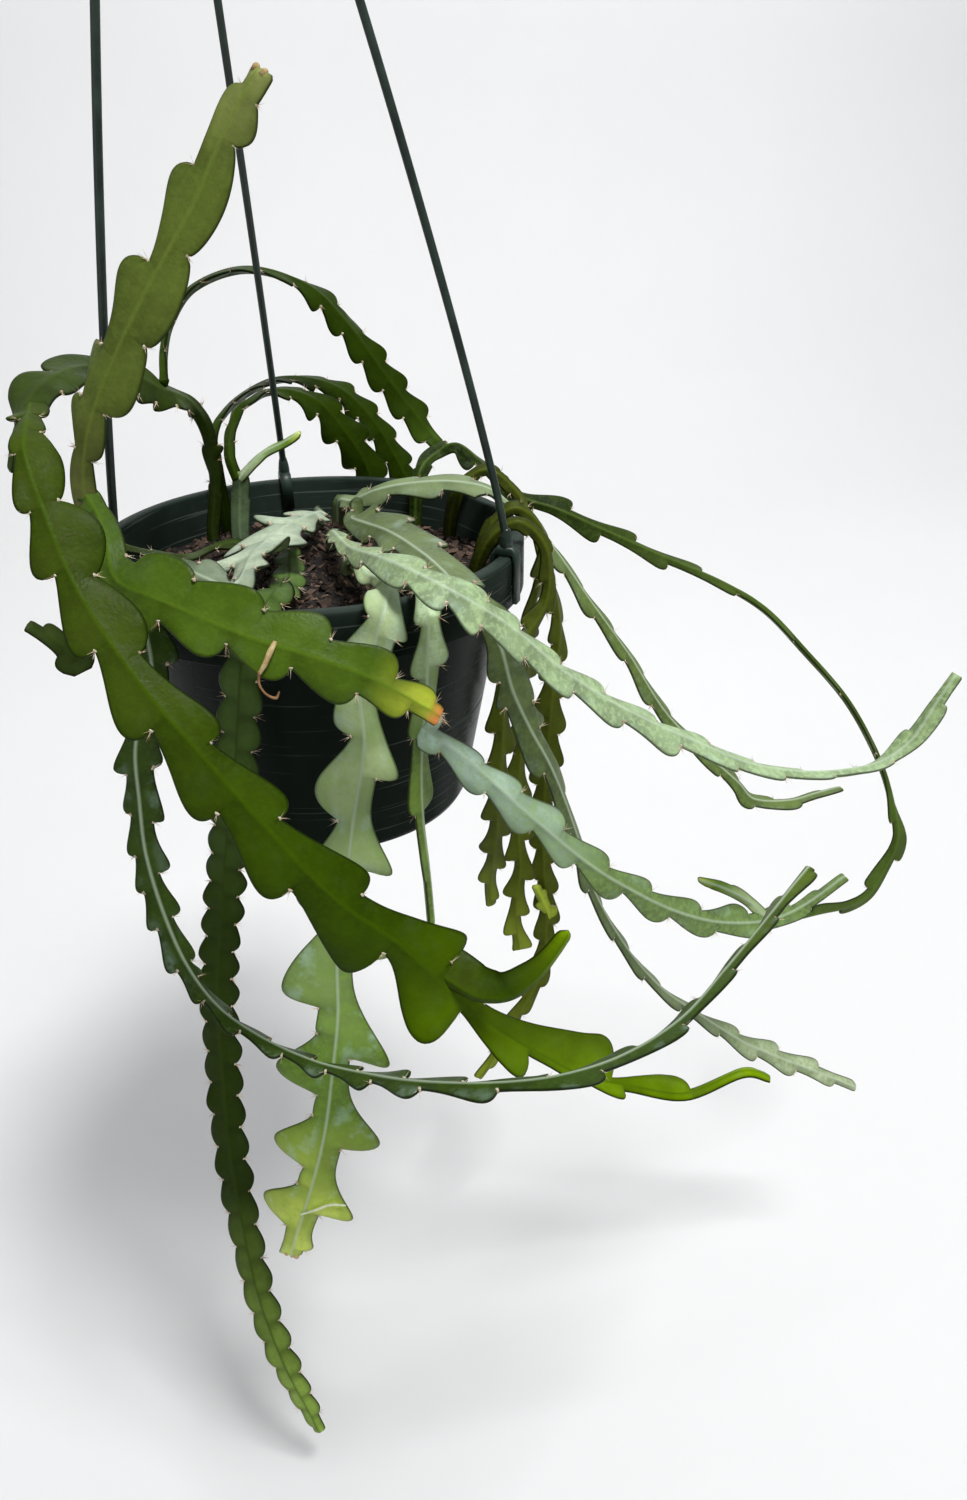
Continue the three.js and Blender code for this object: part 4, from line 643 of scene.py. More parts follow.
def half_thickness(stem, spread, reach):
    ridge = np.exp(-((spread * reach / RIDGE_WIDTH) ** 2))
    swell = 1 - spread**2
    return MARGIN_HALF + (stem.rib - MARGIN_HALF) * (0.5 * ridge + 0.5 * swell)


def blade_rows(stem):
    """Lengths along the stem, closer together around each notch."""
    marks = [np.linspace(0, stem.length, int(stem.length / ROW_STEP) + 2)]
    for sign in (-1, 1):
        for shift in NOTCH_SHIFTS:
            marks.append(stem.lobes(sign)[:, 0] + shift)
    marks = np.unique(np.concatenate(marks))
    marks = marks[(marks >= 0) & (marks <= stem.length)]
    kept = np.concatenate([[True], np.diff(marks) > LEAST_ROW_GAP])
    return marks[kept]


def blade(pile, stem, seed):
    chance = np.random.default_rng(seed)
    u = blade_rows(stem)
    rows = {(1, 0.0): (*stem.at(u), stem.reach(u), 0 * u, 0 * u, u)}
    for sign in (-1, 1):
        number, width, lean, height = stem.edge(u, sign)
        lift = chance.uniform(-1, 1, LOBE_COUNT)[number] * height * CURL - DOME
        lift = lift * np.clip((width - FLAT_BELOW) / (DOMED_FROM - FLAT_BELOW), 0, 1)
        for spread in ACROSS[1:]:
            length = np.clip(u + lean * spread**2, 0, stem.length)
            bend = spread**2 * lift + spread * stem.fold_at(length)
            rows[(sign, spread)] = (*stem.at(length), width, bend, height, length)
    ends = np.clip((stem.length - u) / TIP_LENGTH, 0, 1)
    taper = np.maximum(np.sqrt(1 - (1 - ends) ** 2), LEAST_TAPER)

    def lay(sign, spread, mark, bulge=0.0):
        """One line of points, the half thickness there as a step off the face, and values for the finish."""
        centre, out, side, width, bend, height, length = rows[(sign, spread)]
        place = centre + side * (sign * (spread * width + bulge) * taper)[:, None]
        place = place + out * (bend * width * taper)[:, None]
        thick = out * (half_thickness(stem, spread, width) * taper)[:, None]
        return place, thick, (np.full(len(u), mark), spread * width, length / stem.length, height)

    keys = [(-1, spread) for spread in reversed(ACROSS[1:])] + [(1, spread) for spread in ACROSS]
    lines = [lay(sign, spread, spread) for sign, spread in keys]
    top = [(place + thick, marks) for place, thick, marks in lines]
    bottom = [(place - thick, marks) for place, thick, marks in lines]
    rims = [lay(sign, 1.0, MARGIN_MARK, MARGIN_BULGE) for sign in (1, -1)]
    loop = top + [(rims[0][0], rims[0][2])] + bottom[::-1] + [(rims[1][0], rims[1][2])]
    points = np.stack([place for place, _ in loop], axis=1)
    rings, corners = points.shape[:2]
    values = {
        name: np.stack([marks[k] for _, marks in loop], axis=1).ravel().tolist()
        for k, name in enumerate(("spread", "from_rib", "along", "lobe"))
    }
    faces = tube_faces(rings, corners, flip=True)
    half = len(top)
    for ring, flip in ((0, False), (rings - 1, True)):
        over = ring * corners
        under = over + 2 * half
        caps = [(over + j, over + j + 1, under - j - 1, under - j) for j in range(half - 1)]
        caps.append((over + half - 1, over + half, over + half + 1))
        caps.append((under, under + 1, over))
        faces += [face[::-1] if flip else face for face in caps]
    pile.add(points.reshape(-1, 3), faces, values)


print("points across a blade:", 4 * len(ACROSS))

# %% [markdown]
# ## Effects shared by several finishes
# Patches of tone and fine grain turn up on the blades, the pot and the hanger alike, and on the stems and the
# pot a dusty bloom, laid thicker on faces turned upward, that also serves as a painted sheen. Each such effect
# is a node group, built once and given its own values in each material.

# %% Effect groups


def node(tree, kind, **settings):
    made = tree.nodes.new(kind)
    for key, value in settings.items():
        setattr(made, key, value)
    return made


def wire(tree, *joins):
    """Links sockets: each join is a node and its output, then another node and its input."""
    for start, output, end, target in joins:
        tree.links.new(start.outputs[output], end.inputs[target])


def effect_group(name, result, **inputs):
    group = bpy.data.node_groups.new(name, "ShaderNodeTree")
    for label, default in inputs.items():
        socket = group.interface.new_socket(label, in_out="INPUT", socket_type="NodeSocketFloat")
        socket.default_value = default
    group.interface.new_socket(result, in_out="OUTPUT", socket_type="NodeSocketFloat")
    return group, group.nodes.new("NodeGroupInput"), group.nodes.new("NodeGroupOutput")


def noise_node(group, start, scale, detail, roughness=0.5):
    """Noise in the piece's own space, with its scale taken from an input of the group."""
    place = node(group, "ShaderNodeTexCoord")
    noise = node(group, "ShaderNodeTexNoise")
    noise.inputs["Detail"].default_value = detail
    noise.inputs["Roughness"].default_value = roughness
    wire(group, (place, "Object", noise, "Vector"), (start, scale, noise, "Scale"))
    return noise


def build_patches():
    group, start, end = effect_group("patches", "Mask", Scale=60.0, Low=0.4, High=0.65)
    noise = noise_node(group, start, "Scale", 4.0, 0.6)
    spread = node(group, "ShaderNodeMapRange", clamp=True)
    wire(
        group,
        (noise, "Fac", spread, "Value"),
        (start, "Low", spread, "From Min"),
        (start, "High", spread, "From Max"),
        (spread, "Result", end, "Mask"),
    )
    return group


# Dust laid thicker on faces turned upward, which also serves as a painted sheen.
def build_bloom_and_painted_sheen():
    group, start, end = effect_group("upward_bloom_and_painted_sheen", "Mask", Scale=90.0, Amount=0.5, Upward=0.6)
    noise = noise_node(group, start, "Scale", 6.0, 0.7)
    shape = node(group, "ShaderNodeNewGeometry")
    parts = node(group, "ShaderNodeSeparateXYZ")
    upward = node(group, "ShaderNodeMath", operation="MULTIPLY_ADD")
    upward.inputs[2].default_value = 0.5
    both = node(group, "ShaderNodeMath", operation="MULTIPLY")
    final = node(group, "ShaderNodeMath", operation="MULTIPLY", use_clamp=True)
    spread = node(group, "ShaderNodeMapRange", clamp=True)
    spread.inputs["From Min"].default_value = 0.3
    spread.inputs["From Max"].default_value = 0.7
    spread.inputs["To Min"].default_value = 0.35
    wire(
        group,
        (noise, "Fac", spread, "Value"),
        (shape, "Normal", parts, "Vector"),
        (parts, "Z", upward, 0),
        (start, "Upward", upward, 1),
        (upward, "Value", both, 0),
        (spread, "Result", both, 1),
        (both, "Value", final, 0),
        (start, "Amount", final, 1),
        (final, "Value", end, "Mask"),
    )
    return group


def build_grain():
    group, start, end = effect_group("fine_grain", "Height", Scale=400.0, Coarse=120.0)
    fine = noise_node(group, start, "Scale", 3.0)
    coarse = noise_node(group, start, "Coarse", 2.0)
    together = node(group, "ShaderNodeMath", operation="MULTIPLY_ADD")
    together.inputs[1].default_value = 0.4
    wire(
        group,
        (fine, "Fac", together, 0),
        (coarse, "Fac", together, 2),
        (together, "Value", end, "Height"),
    )
    return group


PATCHES = build_patches()
BLOOM_AND_PAINTED_SHEEN = build_bloom_and_painted_sheen()
GRAIN = build_grain()
print("effect groups:", [group.name for group in (PATCHES, BLOOM_AND_PAINTED_SHEEN, GRAIN)])

# %% Material helpers


class Finish:
    """One material on the Principled shader, with short ways to add the nodes that it needs."""

    def __init__(self, name, roughness=0.5, **sockets):
        self.material = bpy.data.materials.new(name)
        self.material.use_nodes = True
        self.tree = self.material.node_tree
        self.shader = self.tree.nodes["Principled BSDF"]
        self.shader.inputs["Roughness"].default_value = roughness
        for label, value in sockets.items():
            self.shader.inputs[label.replace("_", " ")].default_value = value

    def link(self, output, target):
        self.tree.links.new(output, target)

    def value(self, name):
        return node(self.tree, "ShaderNodeAttribute", attribute_name=name).outputs["Fac"]

    def effect(self, group, output, **inputs):
        placed = node(self.tree, "ShaderNodeGroup", node_tree=group)
        for label, number in inputs.items():
            placed.inputs[label].default_value = number
        return placed.outputs[output]

    def patches(self, scale, low, high):
        return self.effect(PATCHES, "Mask", Scale=scale, Low=low, High=high)

    # Dust on faces turned upward, partly a painted sheen.
    def bloom_and_painted_sheen(self, scale, amount, upward):
        return self.effect(BLOOM_AND_PAINTED_SHEEN, "Mask", Scale=scale, Amount=amount, Upward=upward)

    def span(self, source, low, high, start=0.0, end=1.0):
        made = node(self.tree, "ShaderNodeMapRange", clamp=True)
        made.inputs["From Min"].default_value = low
        made.inputs["From Max"].default_value = high
        made.inputs["To Min"].default_value = start
        made.inputs["To Max"].default_value = end
        self.link(source, made.inputs["Value"])
        return made.outputs["Result"]

    def times(self, first, second):
        made = node(self.tree, "ShaderNodeMath", operation="MULTIPLY", use_clamp=True)
        for socket, source in zip(made.inputs, (first, second)):
            if isinstance(source, (int, float)):
                socket.default_value = source
            else:
                self.link(source, socket)
        return made.outputs["Value"]

    def mix(self, share, first, second):
        made = node(self.tree, "ShaderNodeMix", data_type="RGBA")
        for index, source in ((6, first), (7, second)):
            if isinstance(source, tuple):
                made.inputs[index].default_value = source
            else:
                self.link(source, made.inputs[index])
        self.link(share, made.inputs[0])
        return made.outputs[2]

    def color(self, source):
        self.link(source, self.shader.inputs["Base Color"])

    def rough(self, source):
        self.link(source, self.shader.inputs["Roughness"])

    def grain(self, scale, coarse, distance, strength):
        made = node(self.tree, "ShaderNodeBump")
        made.inputs["Distance"].default_value = distance
        made.inputs["Strength"].default_value = strength
        self.link(self.effect(GRAIN, "Height", Scale=scale, Coarse=coarse), made.inputs["Height"])
        self.link(made.outputs["Normal"], self.shader.inputs["Normal"])


def patchy_finish(name, roughness, patches, first, second):
    """A finish in two tones, with one in patches over the other."""
    finish = Finish(name, roughness)
    finish.color(finish.mix(finish.patches(*patches), srgb(*first), srgb(*second)))
    return finish


print("material helpers ready")

# %% [markdown]
# ## The skin of the stems
# The skin is waxy and smooth. Shaded old growth is dark or olive, sunlit new growth is bright and yellower
# towards its tip, and several stems wear a thin blue-grey bloom, laid thicker on faces turned upward, which
# also serves as a painted sheen. Painted shade darkens the notches between lobes and the blade towards its
# margins, and painted highlights lie in pale patches on faces turned upward, away from the rib. Along the rib
# runs a paler line, and the margin is thin and darker. The values laid on the blades' points say where each of
# these belongs, so one recipe serves every stem with its own colours.

# %% Stem skins
DUST_AND_SHEEN_TONE = srgb(166, 186, 174)
DUSTY_RIB = srgb(190, 208, 180)
PAINTED_HIGHLIGHT_TONE = srgb(176, 204, 190)
THICK_BLOOM = 0.1


def shaded(color, share):
    """A colour made darker or lighter."""
    return (*(channel * share for channel in srgb(*color)[:3]), 1.0)


def stem_skin(name, old, young, tip, bloom_and_painted_sheen=0.0, gloss=0.3, sheen=0.09, ages=(0.08, 0.5), tip_from=0.85,
              bloom_and_sheen_end=1.0, painted_highlight=0.02, mottle=0.12, last=None):
    skin = Finish(name, gloss, Specular_IOR_Level=sheen)
    along = skin.value("along")
    spread = skin.value("spread")
    from_rib = skin.value("from_rib")
    deep = shaded(young, 0.45)
    pale = shaded(young, 1.7)
    tone = skin.mix(skin.span(along, *ages), srgb(*old), srgb(*young))
    tone = skin.mix(skin.span(along, tip_from, 1.0), tone, srgb(*tip))
    if last:
        tone = skin.mix(skin.span(along, 0.965, 0.99), tone, srgb(*last))
    tone = skin.mix(skin.times(skin.patches(26.0, 0.42, 0.68), 0.45), tone, deep)
    # Painted shade: darker in the notches between lobes and towards the margins.
    tone = skin.mix(skin.span(skin.value("lobe"), 0.0, 0.7, 0.4, 0.0), tone, deep)
    tone = skin.mix(skin.span(spread, 0.62, 0.98, 0.0, 0.4), tone, deep)
    for specks in ((420.0, 0.5, 0.6), (120.0, 0.48, 0.62)):
        tone = skin.mix(skin.times(skin.patches(*specks), mottle), tone, pale)
    if bloom_and_painted_sheen > THICK_BLOOM:
        tone = skin.mix(skin.span(from_rib, 0.15, 1.1, 0.55, 0.0), tone, DUSTY_RIB)
    else:
        tone = skin.mix(skin.span(from_rib, 0.2, 1.2, 0.4, 0.0), tone, pale)
    # Painted highlights: pale patches on faces turned upward, away from the rib.
    painted_highlight_mask = skin.times(skin.patches(75.0, 0.52, 0.64), skin.bloom_and_painted_sheen(55.0, 1.0, 0.5))
    painted_highlight_mask = skin.times(painted_highlight_mask, skin.span(from_rib, 2.0, 5.0, 0.0, painted_highlight))
    tone = skin.mix(painted_highlight_mask, tone, PAINTED_HIGHLIGHT_TONE)
    # Dusty bloom on faces turned upward, which also serves as a painted sheen.
    dusty = skin.times(skin.bloom_and_painted_sheen(38.0, bloom_and_painted_sheen, 0.7), skin.span(along, *ages, 1.0, bloom_and_sheen_end))
    tone = skin.mix(dusty, tone, DUST_AND_SHEEN_TONE)
    skin.color(skin.mix(skin.span(spread, 0.94, 1.04, 0.0, 0.9), tone, shaded(young, 0.22)))
    skin.rough(skin.span(skin.patches(120.0, 0.3, 0.7), 0.0, 1.0, gloss, gloss + 0.2))
    skin.grain(700.0, 130.0, 0.0012, 0.4)
    return skin.material


SKINS = {
    "mid": stem_skin(
        "skin_mid_green", (60, 74, 18), (54, 77, 2), (124, 158, 2), sheen=0.04, ages=(0.2, 0.45),
        tip_from=0.52,
    ),
    "lime": stem_skin("skin_lime_green", (134, 118, 88), (92, 108, 42), (138, 146, 84), sheen=0.06),
    "bright": stem_skin(
        "skin_bright_green", (72, 97, 34), (74, 100, 20), (190, 200, 66), ages=(0.1, 0.4), tip_from=0.82,
        painted_highlight=0.04, last=(240, 150, 80),
    ),
    "deep": stem_skin("skin_deep_green", (50, 70, 14), (40, 58, 4), (66, 90, 24), sheen=0.03, painted_highlight=0.01),
    "shade": stem_skin("skin_shaded_green", (56, 72, 26), (52, 68, 22), (74, 90, 46), sheen=0.05),
    "olive": stem_skin("skin_olive", (140, 168, 130), (118, 142, 100), (124, 140, 80), bloom_and_painted_sheen=0.06),
    "two_tone": stem_skin(
        "skin_two_tone", (196, 208, 172), (50, 70, 16), (84, 104, 24), bloom_and_painted_sheen=0.42, gloss=0.34,
        ages=(0.19, 0.27), bloom_and_sheen_end=0.02, painted_highlight=0.3, mottle=0.25,
    ),
    "dark": stem_skin(
        "skin_dark_green", (98, 128, 62), (38, 54, 4), (150, 182, 78), sheen=0.05, tip_from=0.72,
    ),
    "bunch": stem_skin("skin_bunch", (58, 66, 24), (74, 84, 18), (134, 150, 46), sheen=0.06),
    "fresh": stem_skin(
        "skin_fresh_green", (206, 224, 162), (100, 134, 34), (232, 250, 110), bloom_and_painted_sheen=0.4, sheen=0.2,
        ages=(0.24, 0.75), bloom_and_sheen_end=0.03, tip_from=0.8, painted_highlight=0.8, mottle=0.2,
    ),
    "fresh_dusty": stem_skin(
        "skin_fresh_dusty", (212, 236, 190), (98, 124, 42), (84, 108, 28), bloom_and_painted_sheen=0.12, ages=(0.42, 0.6),
        painted_highlight=0.3, mottle=0.3,
    ),
    "dusty": stem_skin(
        "skin_dusty_green", (198, 226, 206), (106, 132, 66), (104, 128, 52), bloom_and_painted_sheen=0.4, gloss=0.36,
        sheen=0.2, ages=(0.05, 0.4), bloom_and_sheen_end=0.2, painted_highlight=0.35, mottle=0.4,
    ),
    "sage": stem_skin(
        "skin_sage_green", (92, 107, 48), (80, 96, 48), (200, 216, 172), bloom_and_painted_sheen=0.12, sheen=0.12,
        gloss=0.36, ages=(0.25, 0.4), bloom_and_sheen_end=0.7, painted_highlight=0.3, mottle=0.35, tip_from=0.66,
    ),
    "silver": stem_skin(
        "skin_silver_green", (122, 140, 76), (144, 166, 118), (112, 138, 58), bloom_and_painted_sheen=0.3, gloss=0.36,
        sheen=0.2, ages=(0.2, 0.45), tip_from=0.82, painted_highlight=0.4, mottle=0.45, bloom_and_sheen_end=0.6,
    ),
    "moss": stem_skin(
        "skin_moss_green", (122, 138, 92), (86, 104, 50), (96, 118, 52), bloom_and_painted_sheen=0.12, gloss=0.36,
        sheen=0.12, ages=(0.3, 0.5), bloom_and_sheen_end=0.2, painted_highlight=0.25, mottle=0.3,
    ),
    "ink": stem_skin(
        "skin_ink_green", (8, 20, 0), (72, 92, 36), (90, 112, 48), sheen=0.05, ages=(0.2, 0.45),
    ),
    "shoot": stem_skin("skin_shoot", (112, 130, 38), (150, 168, 50), (180, 192, 74)),
}
print("stem skins:", sorted(SKINS))

# %% [markdown]
# ## Stems
# Each stem of the frame is replaced by its finer blades. Where a stem branches, the branch starts inside the
# blade that it grows from, as a bud does.

# %% Make the stems
for index, stem in enumerate(STEMS):
    pile = Pile()
    skin_of_face = []
    for number, branch in enumerate(stem["branches"]):
        blade(pile, branch["line"], 100 * index + number)
        skin_of_face += [number] * (len(pile.faces) - len(skin_of_face))
    item = pile.object(stem["node"] + "_blade")
    dress(item, *[SKINS[branch["skin"]] for branch in stem["branches"]])
    item.data.polygons.foreach_set("material_index", skin_of_face)
    seat(item, stem["slot"], stem["node"])
    print(item.name, "faces:", len(item.data.polygons))

# %% [markdown]
# ## Areoles and bristles
# A cactus flowers and bristles from areoles. On this one they sit in the notches between the lobes: a tiny
# pad of pale wool, with a few short bristles that point out and forwards. They are too fine to carve into the
# blades, so each stem gets one piece of pads and one of bristles.

# %% Areole builder
PAD_TURNS = 7
PAD_LEVELS = ((1.0, -0.3), (0.85, 0.45), (0.45, 0.85))
LEAST_LOBE = 3.2
FIRST_AREOLE = 12
LAST_AREOLE = 4
PAD_RADIUS = 0.55
PAD_GROWTH = 0.03
LARGEST_PAD = 1.1
PAD_LEAN = 0.35
PAD_HEIGHT = 0.8
BRISTLE_COUNTS = (3, 7)
BRISTLE_LENGTHS = (2.2, 5.4)
BRISTLE_RADIUS = 0.18


def two_across(axis, helper):
    """Two directions across an axis."""
    first = np.cross(axis, helper)
    first /= np.linalg.norm(first)
    return first, np.cross(axis / np.linalg.norm(axis), first)


def pad_mesh(centre, axis, radius, height):
    """A low dome around an axis."""
    axis = axis / np.linalg.norm(axis)
    first, second = two_across(axis, np.array([0.3, 0.5, 0.81]))
    points = []
    for level, (share, lift) in enumerate(PAD_LEVELS):
        for cosine, sine in circle(PAD_TURNS, 0.5 * level):
            ring = first * cosine + second * sine
            points.append(centre + ring * radius * share + axis * height * lift)
    top = len(points)
    points.append(centre + axis * height)
    points.append(centre - axis * height * 0.5)
    faces = tube_faces(len(PAD_LEVELS), PAD_TURNS)
    faces += fan_faces(top - PAD_TURNS, PAD_TURNS, top) + fan_faces(0, PAD_TURNS, top + 1, flip=True)
    return points, faces


def bristle_mesh(start, end, radius):
    """A thin three-sided spike."""
    first, second = two_across(end - start, np.array([0.6, -0.2, 0.77]))
    points = [start + (first * cosine + second * sine) * radius for cosine, sine in circle(3)]
    return points + [end], [(0, 1, 3), (1, 2, 3), (2, 0, 3), (2, 1, 0)]


def areoles(stem, pads, bristles, chance, wooliness):
    for sign in (-1, 1):
        for u, neck, reach, _ in stem.lobes(sign):
            near_end = u < FIRST_AREOLE or u > stem.length - LAST_AREOLE
            if reach < LEAST_LOBE or near_end or stem.in_foot(u):
                continue
            centre, out, side = (value[0] for value in stem.at(np.array([u])))
            along = np.cross(side, out)
            base = centre + side * sign * (max(neck, LEAST_REACH) + 0.1) + out * stem.fold_at(u) * neck
            size = min(PAD_RADIUS + reach * PAD_GROWTH, LARGEST_PAD) * wooliness
            pads.add(*pad_mesh(base, side * sign + along * PAD_LEAN, size, size * PAD_HEIGHT))
            for _ in range(chance.integers(*BRISTLE_COUNTS)):
                lean = along * chance.uniform(-0.5, 0.9) + out * chance.uniform(-0.8, 0.8)
                direction = side * sign + lean
                direction /= np.linalg.norm(direction)
                end = base + direction * chance.uniform(*BRISTLE_LENGTHS)
                bristles.add(*bristle_mesh(base, end, BRISTLE_RADIUS))


print("areole builder ready")

# %% Areole finishes
wool = patchy_finish("areole_wool", 0.95, (700.0, 0.35, 0.65), (150, 128, 96), (216, 208, 188))
wool.grain(4000.0, 1500.0, 0.0003, 0.6)
bristle = patchy_finish("bristle", 0.6, (300.0, 0.4, 0.6), (158, 126, 86), (226, 214, 186))
print("areole finishes:", wool.material.name, bristle.material.name)

# %% Make the areoles
WOOLLY = ("stem_right_broad", "stem_right_long", "stem_left_long")
for index, stem in enumerate(STEMS):
    chance = np.random.default_rng(500 + index)
    pads, bristles = Pile(), Pile()
    for branch in stem["branches"]:
        areoles(branch["line"], pads, bristles, chance, 1.5 if stem["node"] in WOOLLY else 1.0)
    short = stem["node"].replace("stem_", "")
    seat(dress(pads.object("areoles_" + short), wool.material), stem["slot"])
    seat(dress(bristles.object("bristles_" + short, smooth=False), bristle.material), stem["slot"])
print("areole pieces:", 2 * len(STEMS))

# %% [markdown]
# ## The soil
# The mix is dark peat with bits of bark. A soft mound fills the pot to just under its rim, and loose chips
# lie all over it, larger and lighter ones among many small dark ones.

# %% Soil body
SOIL_TOP = -17.5
SOIL_EDGE = -22.0
POT_HEIGHT = 137.0
INNER_TOP_RADIUS = 94.6
FLOOR_RADIUS = 70.8
FLOOR_CORNER = 6
FLOOR_THICKNESS = 2.5
LIP_EDGE = 1
SEAT_GAP = 0.35
MOUND = [(0, SOIL_TOP), (30, SOIL_TOP - 0.3), (64, SOIL_TOP - 1.4), (86, -20.3), (91, SOIL_EDGE)]
SOIL_TURNS = 96
SOIL_RINGS = 44
SOIL_CORNER = 6.2
SOIL_FLOOR = 2.85
SOIL_INSET = 3.2
CHIP_FIELD = 88
CUBE = [(x, y, z) for x in (-1, 1) for y in (-1, 1) for z in (-1, 1)]
CUBE_FACES = [(0, 1, 3, 2), (4, 6, 7, 5), (0, 4, 5, 1), (2, 3, 7, 6), (0, 2, 6, 4), (1, 5, 7, 3)]


def inner_wall(z):
    share = (z + POT_HEIGHT - FLOOR_CORNER) / (POT_HEIGHT - FLOOR_CORNER - LIP_EDGE)
    return FLOOR_RADIUS + share * (INNER_TOP_RADIUS - FLOOR_RADIUS)


def soil_height(x, y):
    mound = np.interp(math.hypot(x, y), *zip(*MOUND))
    ripple = 0.5 * math.sin(x * 0.21 + 1.3) * math.cos(y * 0.17) + 0.35 * math.sin(x * 0.55 + y * 0.47)
    return mound - 0.5 + ripple


def build_soil():
    chance = random.Random(4)
    edge = inner_wall(SOIL_EDGE) - SEAT_GAP
    points = [[0, 0, soil_height(0, 0)]]
    for radius in [edge * share for share in np.linspace(0.03, 1, SOIL_RINGS)]:
        for cosine, sine in circle(SOIL_TURNS):
            x, y = radius * cosine, radius * sine
            rough = chance.uniform(-0.5, 0.5) if radius < edge - 1 else 0
            points.append([x, y, soil_height(x, y) + rough])
    low_corner = -POT_HEIGHT + SOIL_CORNER
    floor = -POT_HEIGHT + SOIL_FLOOR
    for radius, z in ((inner_wall(low_corner) - SEAT_GAP, low_corner), (FLOOR_RADIUS - SOIL_INSET, floor)):
        points += [[radius * cosine, radius * sine, z] for cosine, sine in circle(SOIL_TURNS)]
    last = len(points) - SOIL_TURNS
    points.append([0, 0, floor])
    faces = fan_faces(1, SOIL_TURNS, 0) + tube_faces(SOIL_RINGS + 2, SOIL_TURNS, 1, flip=True)
    faces += fan_faces(last, SOIL_TURNS, len(points) - 1, flip=True)
    return Pile((points, faces)).object("soil_mound")


def build_chips(name, count, sizes, tones, seed, lift):
    pile = Pile()
    chance = np.random.default_rng(seed)
    for _ in range(count):
        radius = CHIP_FIELD * math.sqrt(chance.uniform(0, 1))
        angle = chance.uniform(0, 2 * math.pi)
        x, y = radius * math.cos(angle), radius * math.sin(angle)
        size = chance.uniform(*sizes)
        shape = np.array([size, size * chance.uniform(0.35, 0.8), size * chance.uniform(0.2, 0.45)]) / 2
        turn = Matrix.Rotation(chance.uniform(0, 6.3), 3, "Z")
        turn = turn @ Matrix.Rotation(chance.normal(0, 0.6), 3, "X")
        turn = np.array(turn @ Matrix.Rotation(chance.normal(0, 0.35), 3, "Y"))
        middle = np.array([x, y, soil_height(x, y) + size * lift])
        corners = [np.array(corner) * shape * chance.uniform(0.55, 1.1, 3) for corner in CUBE]
        points = [middle + turn @ corner for corner in corners]
        pile.add(points, CUBE_FACES, {"tone": [chance.uniform(*tones)] * len(CUBE)})
    return pile.object(name, smooth=False)


soil = build_soil()
print("soil faces:", len(soil.data.polygons))

# %% Soil finish and chips
peat = patchy_finish("peat", 0.95, (420.0, 0.4, 0.66), (15, 11, 9), (38, 29, 23))
peat.grain(1500.0, 400.0, 0.0025, 0.9)
bark = Finish("bark_chips", 0.85)
bark_shade = bark.mix(bark.value("tone"), srgb(18, 13, 11), srgb(124, 98, 80))
bark.color(bark.mix(bark.times(bark.patches(900.0, 0.4, 0.7), 0.4), bark_shade, srgb(26, 18, 16)))
bark.grain(3000.0, 900.0, 0.0008, 0.7)

seat(dress(soil, peat.material), "soil", "soil")
small_chips = build_chips("soil_crumbs", 4200, (0.9, 2.6), (0.0, 0.55), 11, 0.05)
large_chips = build_chips("bark_bits", 900, (2.6, 7.0), (0.0, 0.8), 12, 0.1)
light_chips = build_chips("light_specks", 210, (0.9, 2.6), (0.9, 1.0), 13, 0.15)
for chips in (small_chips, large_chips, light_chips):
    seat(dress(chips, bark.material), "soil")
    print(chips.name, len(chips.data.polygons) // len(CUBE_FACES))

# %% [markdown]
# ## The pot
# A moulded nursery pot: a plain tapering body with a flat lip and a skirt that hangs down outside it. The
# whole form turns round one axis, so one outline is spun round. Close rows of points beside each corner keep
# the corners small and crisp, as moulded plastic has them.

# %% Spin helper


def spin(outline, turns, round_corner):
    """An outline of radius and height spun round the upright axis, with its corners eased."""
    points = [np.array(point, dtype=float) for point in outline]
    eased = []
    for before, corner, after in zip(points, points[1:], points[2:]):
        for other in (before, after):
            way = other - corner
            gap = min(round_corner, 0.4 * np.linalg.norm(way))
            eased.append(corner + way / np.linalg.norm(way) * gap)
    spun = [(radius * cosine, radius * sine, z) for radius, z in eased for cosine, sine in circle(turns)]
    last = len(spun) - turns
    spun += [(0, 0, points[0][1]), (0, 0, points[-1][1])]
    faces = fan_faces(0, turns, last + turns, flip=True) + fan_faces(last, turns, last + turns + 1)
    return spun, faces + tube_faces(len(eased), turns)


# %% Pot body
RIM_RADIUS = 101.5
SKIRT_WALL = 1.8
SKIRT_HEIGHT = 24.0
BASE_RADIUS = 72.6
DRAIN_HOLES = 5
DRAIN_CIRCLE = 48
DRAIN_RADIUS = 4
DRAIN_DEPTH = 8
OUTER_TOP_RADIUS = 96.6
LIP_THICKNESS = 2.4
POT_TURNS = 160
POT_OUTLINE = [
    (0, -POT_HEIGHT),
    (BASE_RADIUS - 6, -POT_HEIGHT),
    (BASE_RADIUS - 2, -POT_HEIGHT + 1.2),
    (BASE_RADIUS, -POT_HEIGHT + 5),
    (OUTER_TOP_RADIUS, -LIP_THICKNESS),
    (RIM_RADIUS - SKIRT_WALL, -LIP_THICKNESS),
    (RIM_RADIUS - SKIRT_WALL, -SKIRT_HEIGHT),
    (RIM_RADIUS, -SKIRT_HEIGHT),
    (RIM_RADIUS, -1.2),
    (RIM_RADIUS - 1, 0),
    (INNER_TOP_RADIUS + 0.8, 0),
    (INNER_TOP_RADIUS, -LIP_EDGE),
    (FLOOR_RADIUS, -POT_HEIGHT + FLOOR_CORNER),
    (FLOOR_RADIUS - 3, -POT_HEIGHT + FLOOR_THICKNESS),
    (0, -POT_HEIGHT + FLOOR_THICKNESS),
]
pot = Pile(spin(POT_OUTLINE, POT_TURNS, 0.6)).object("pot_shell")
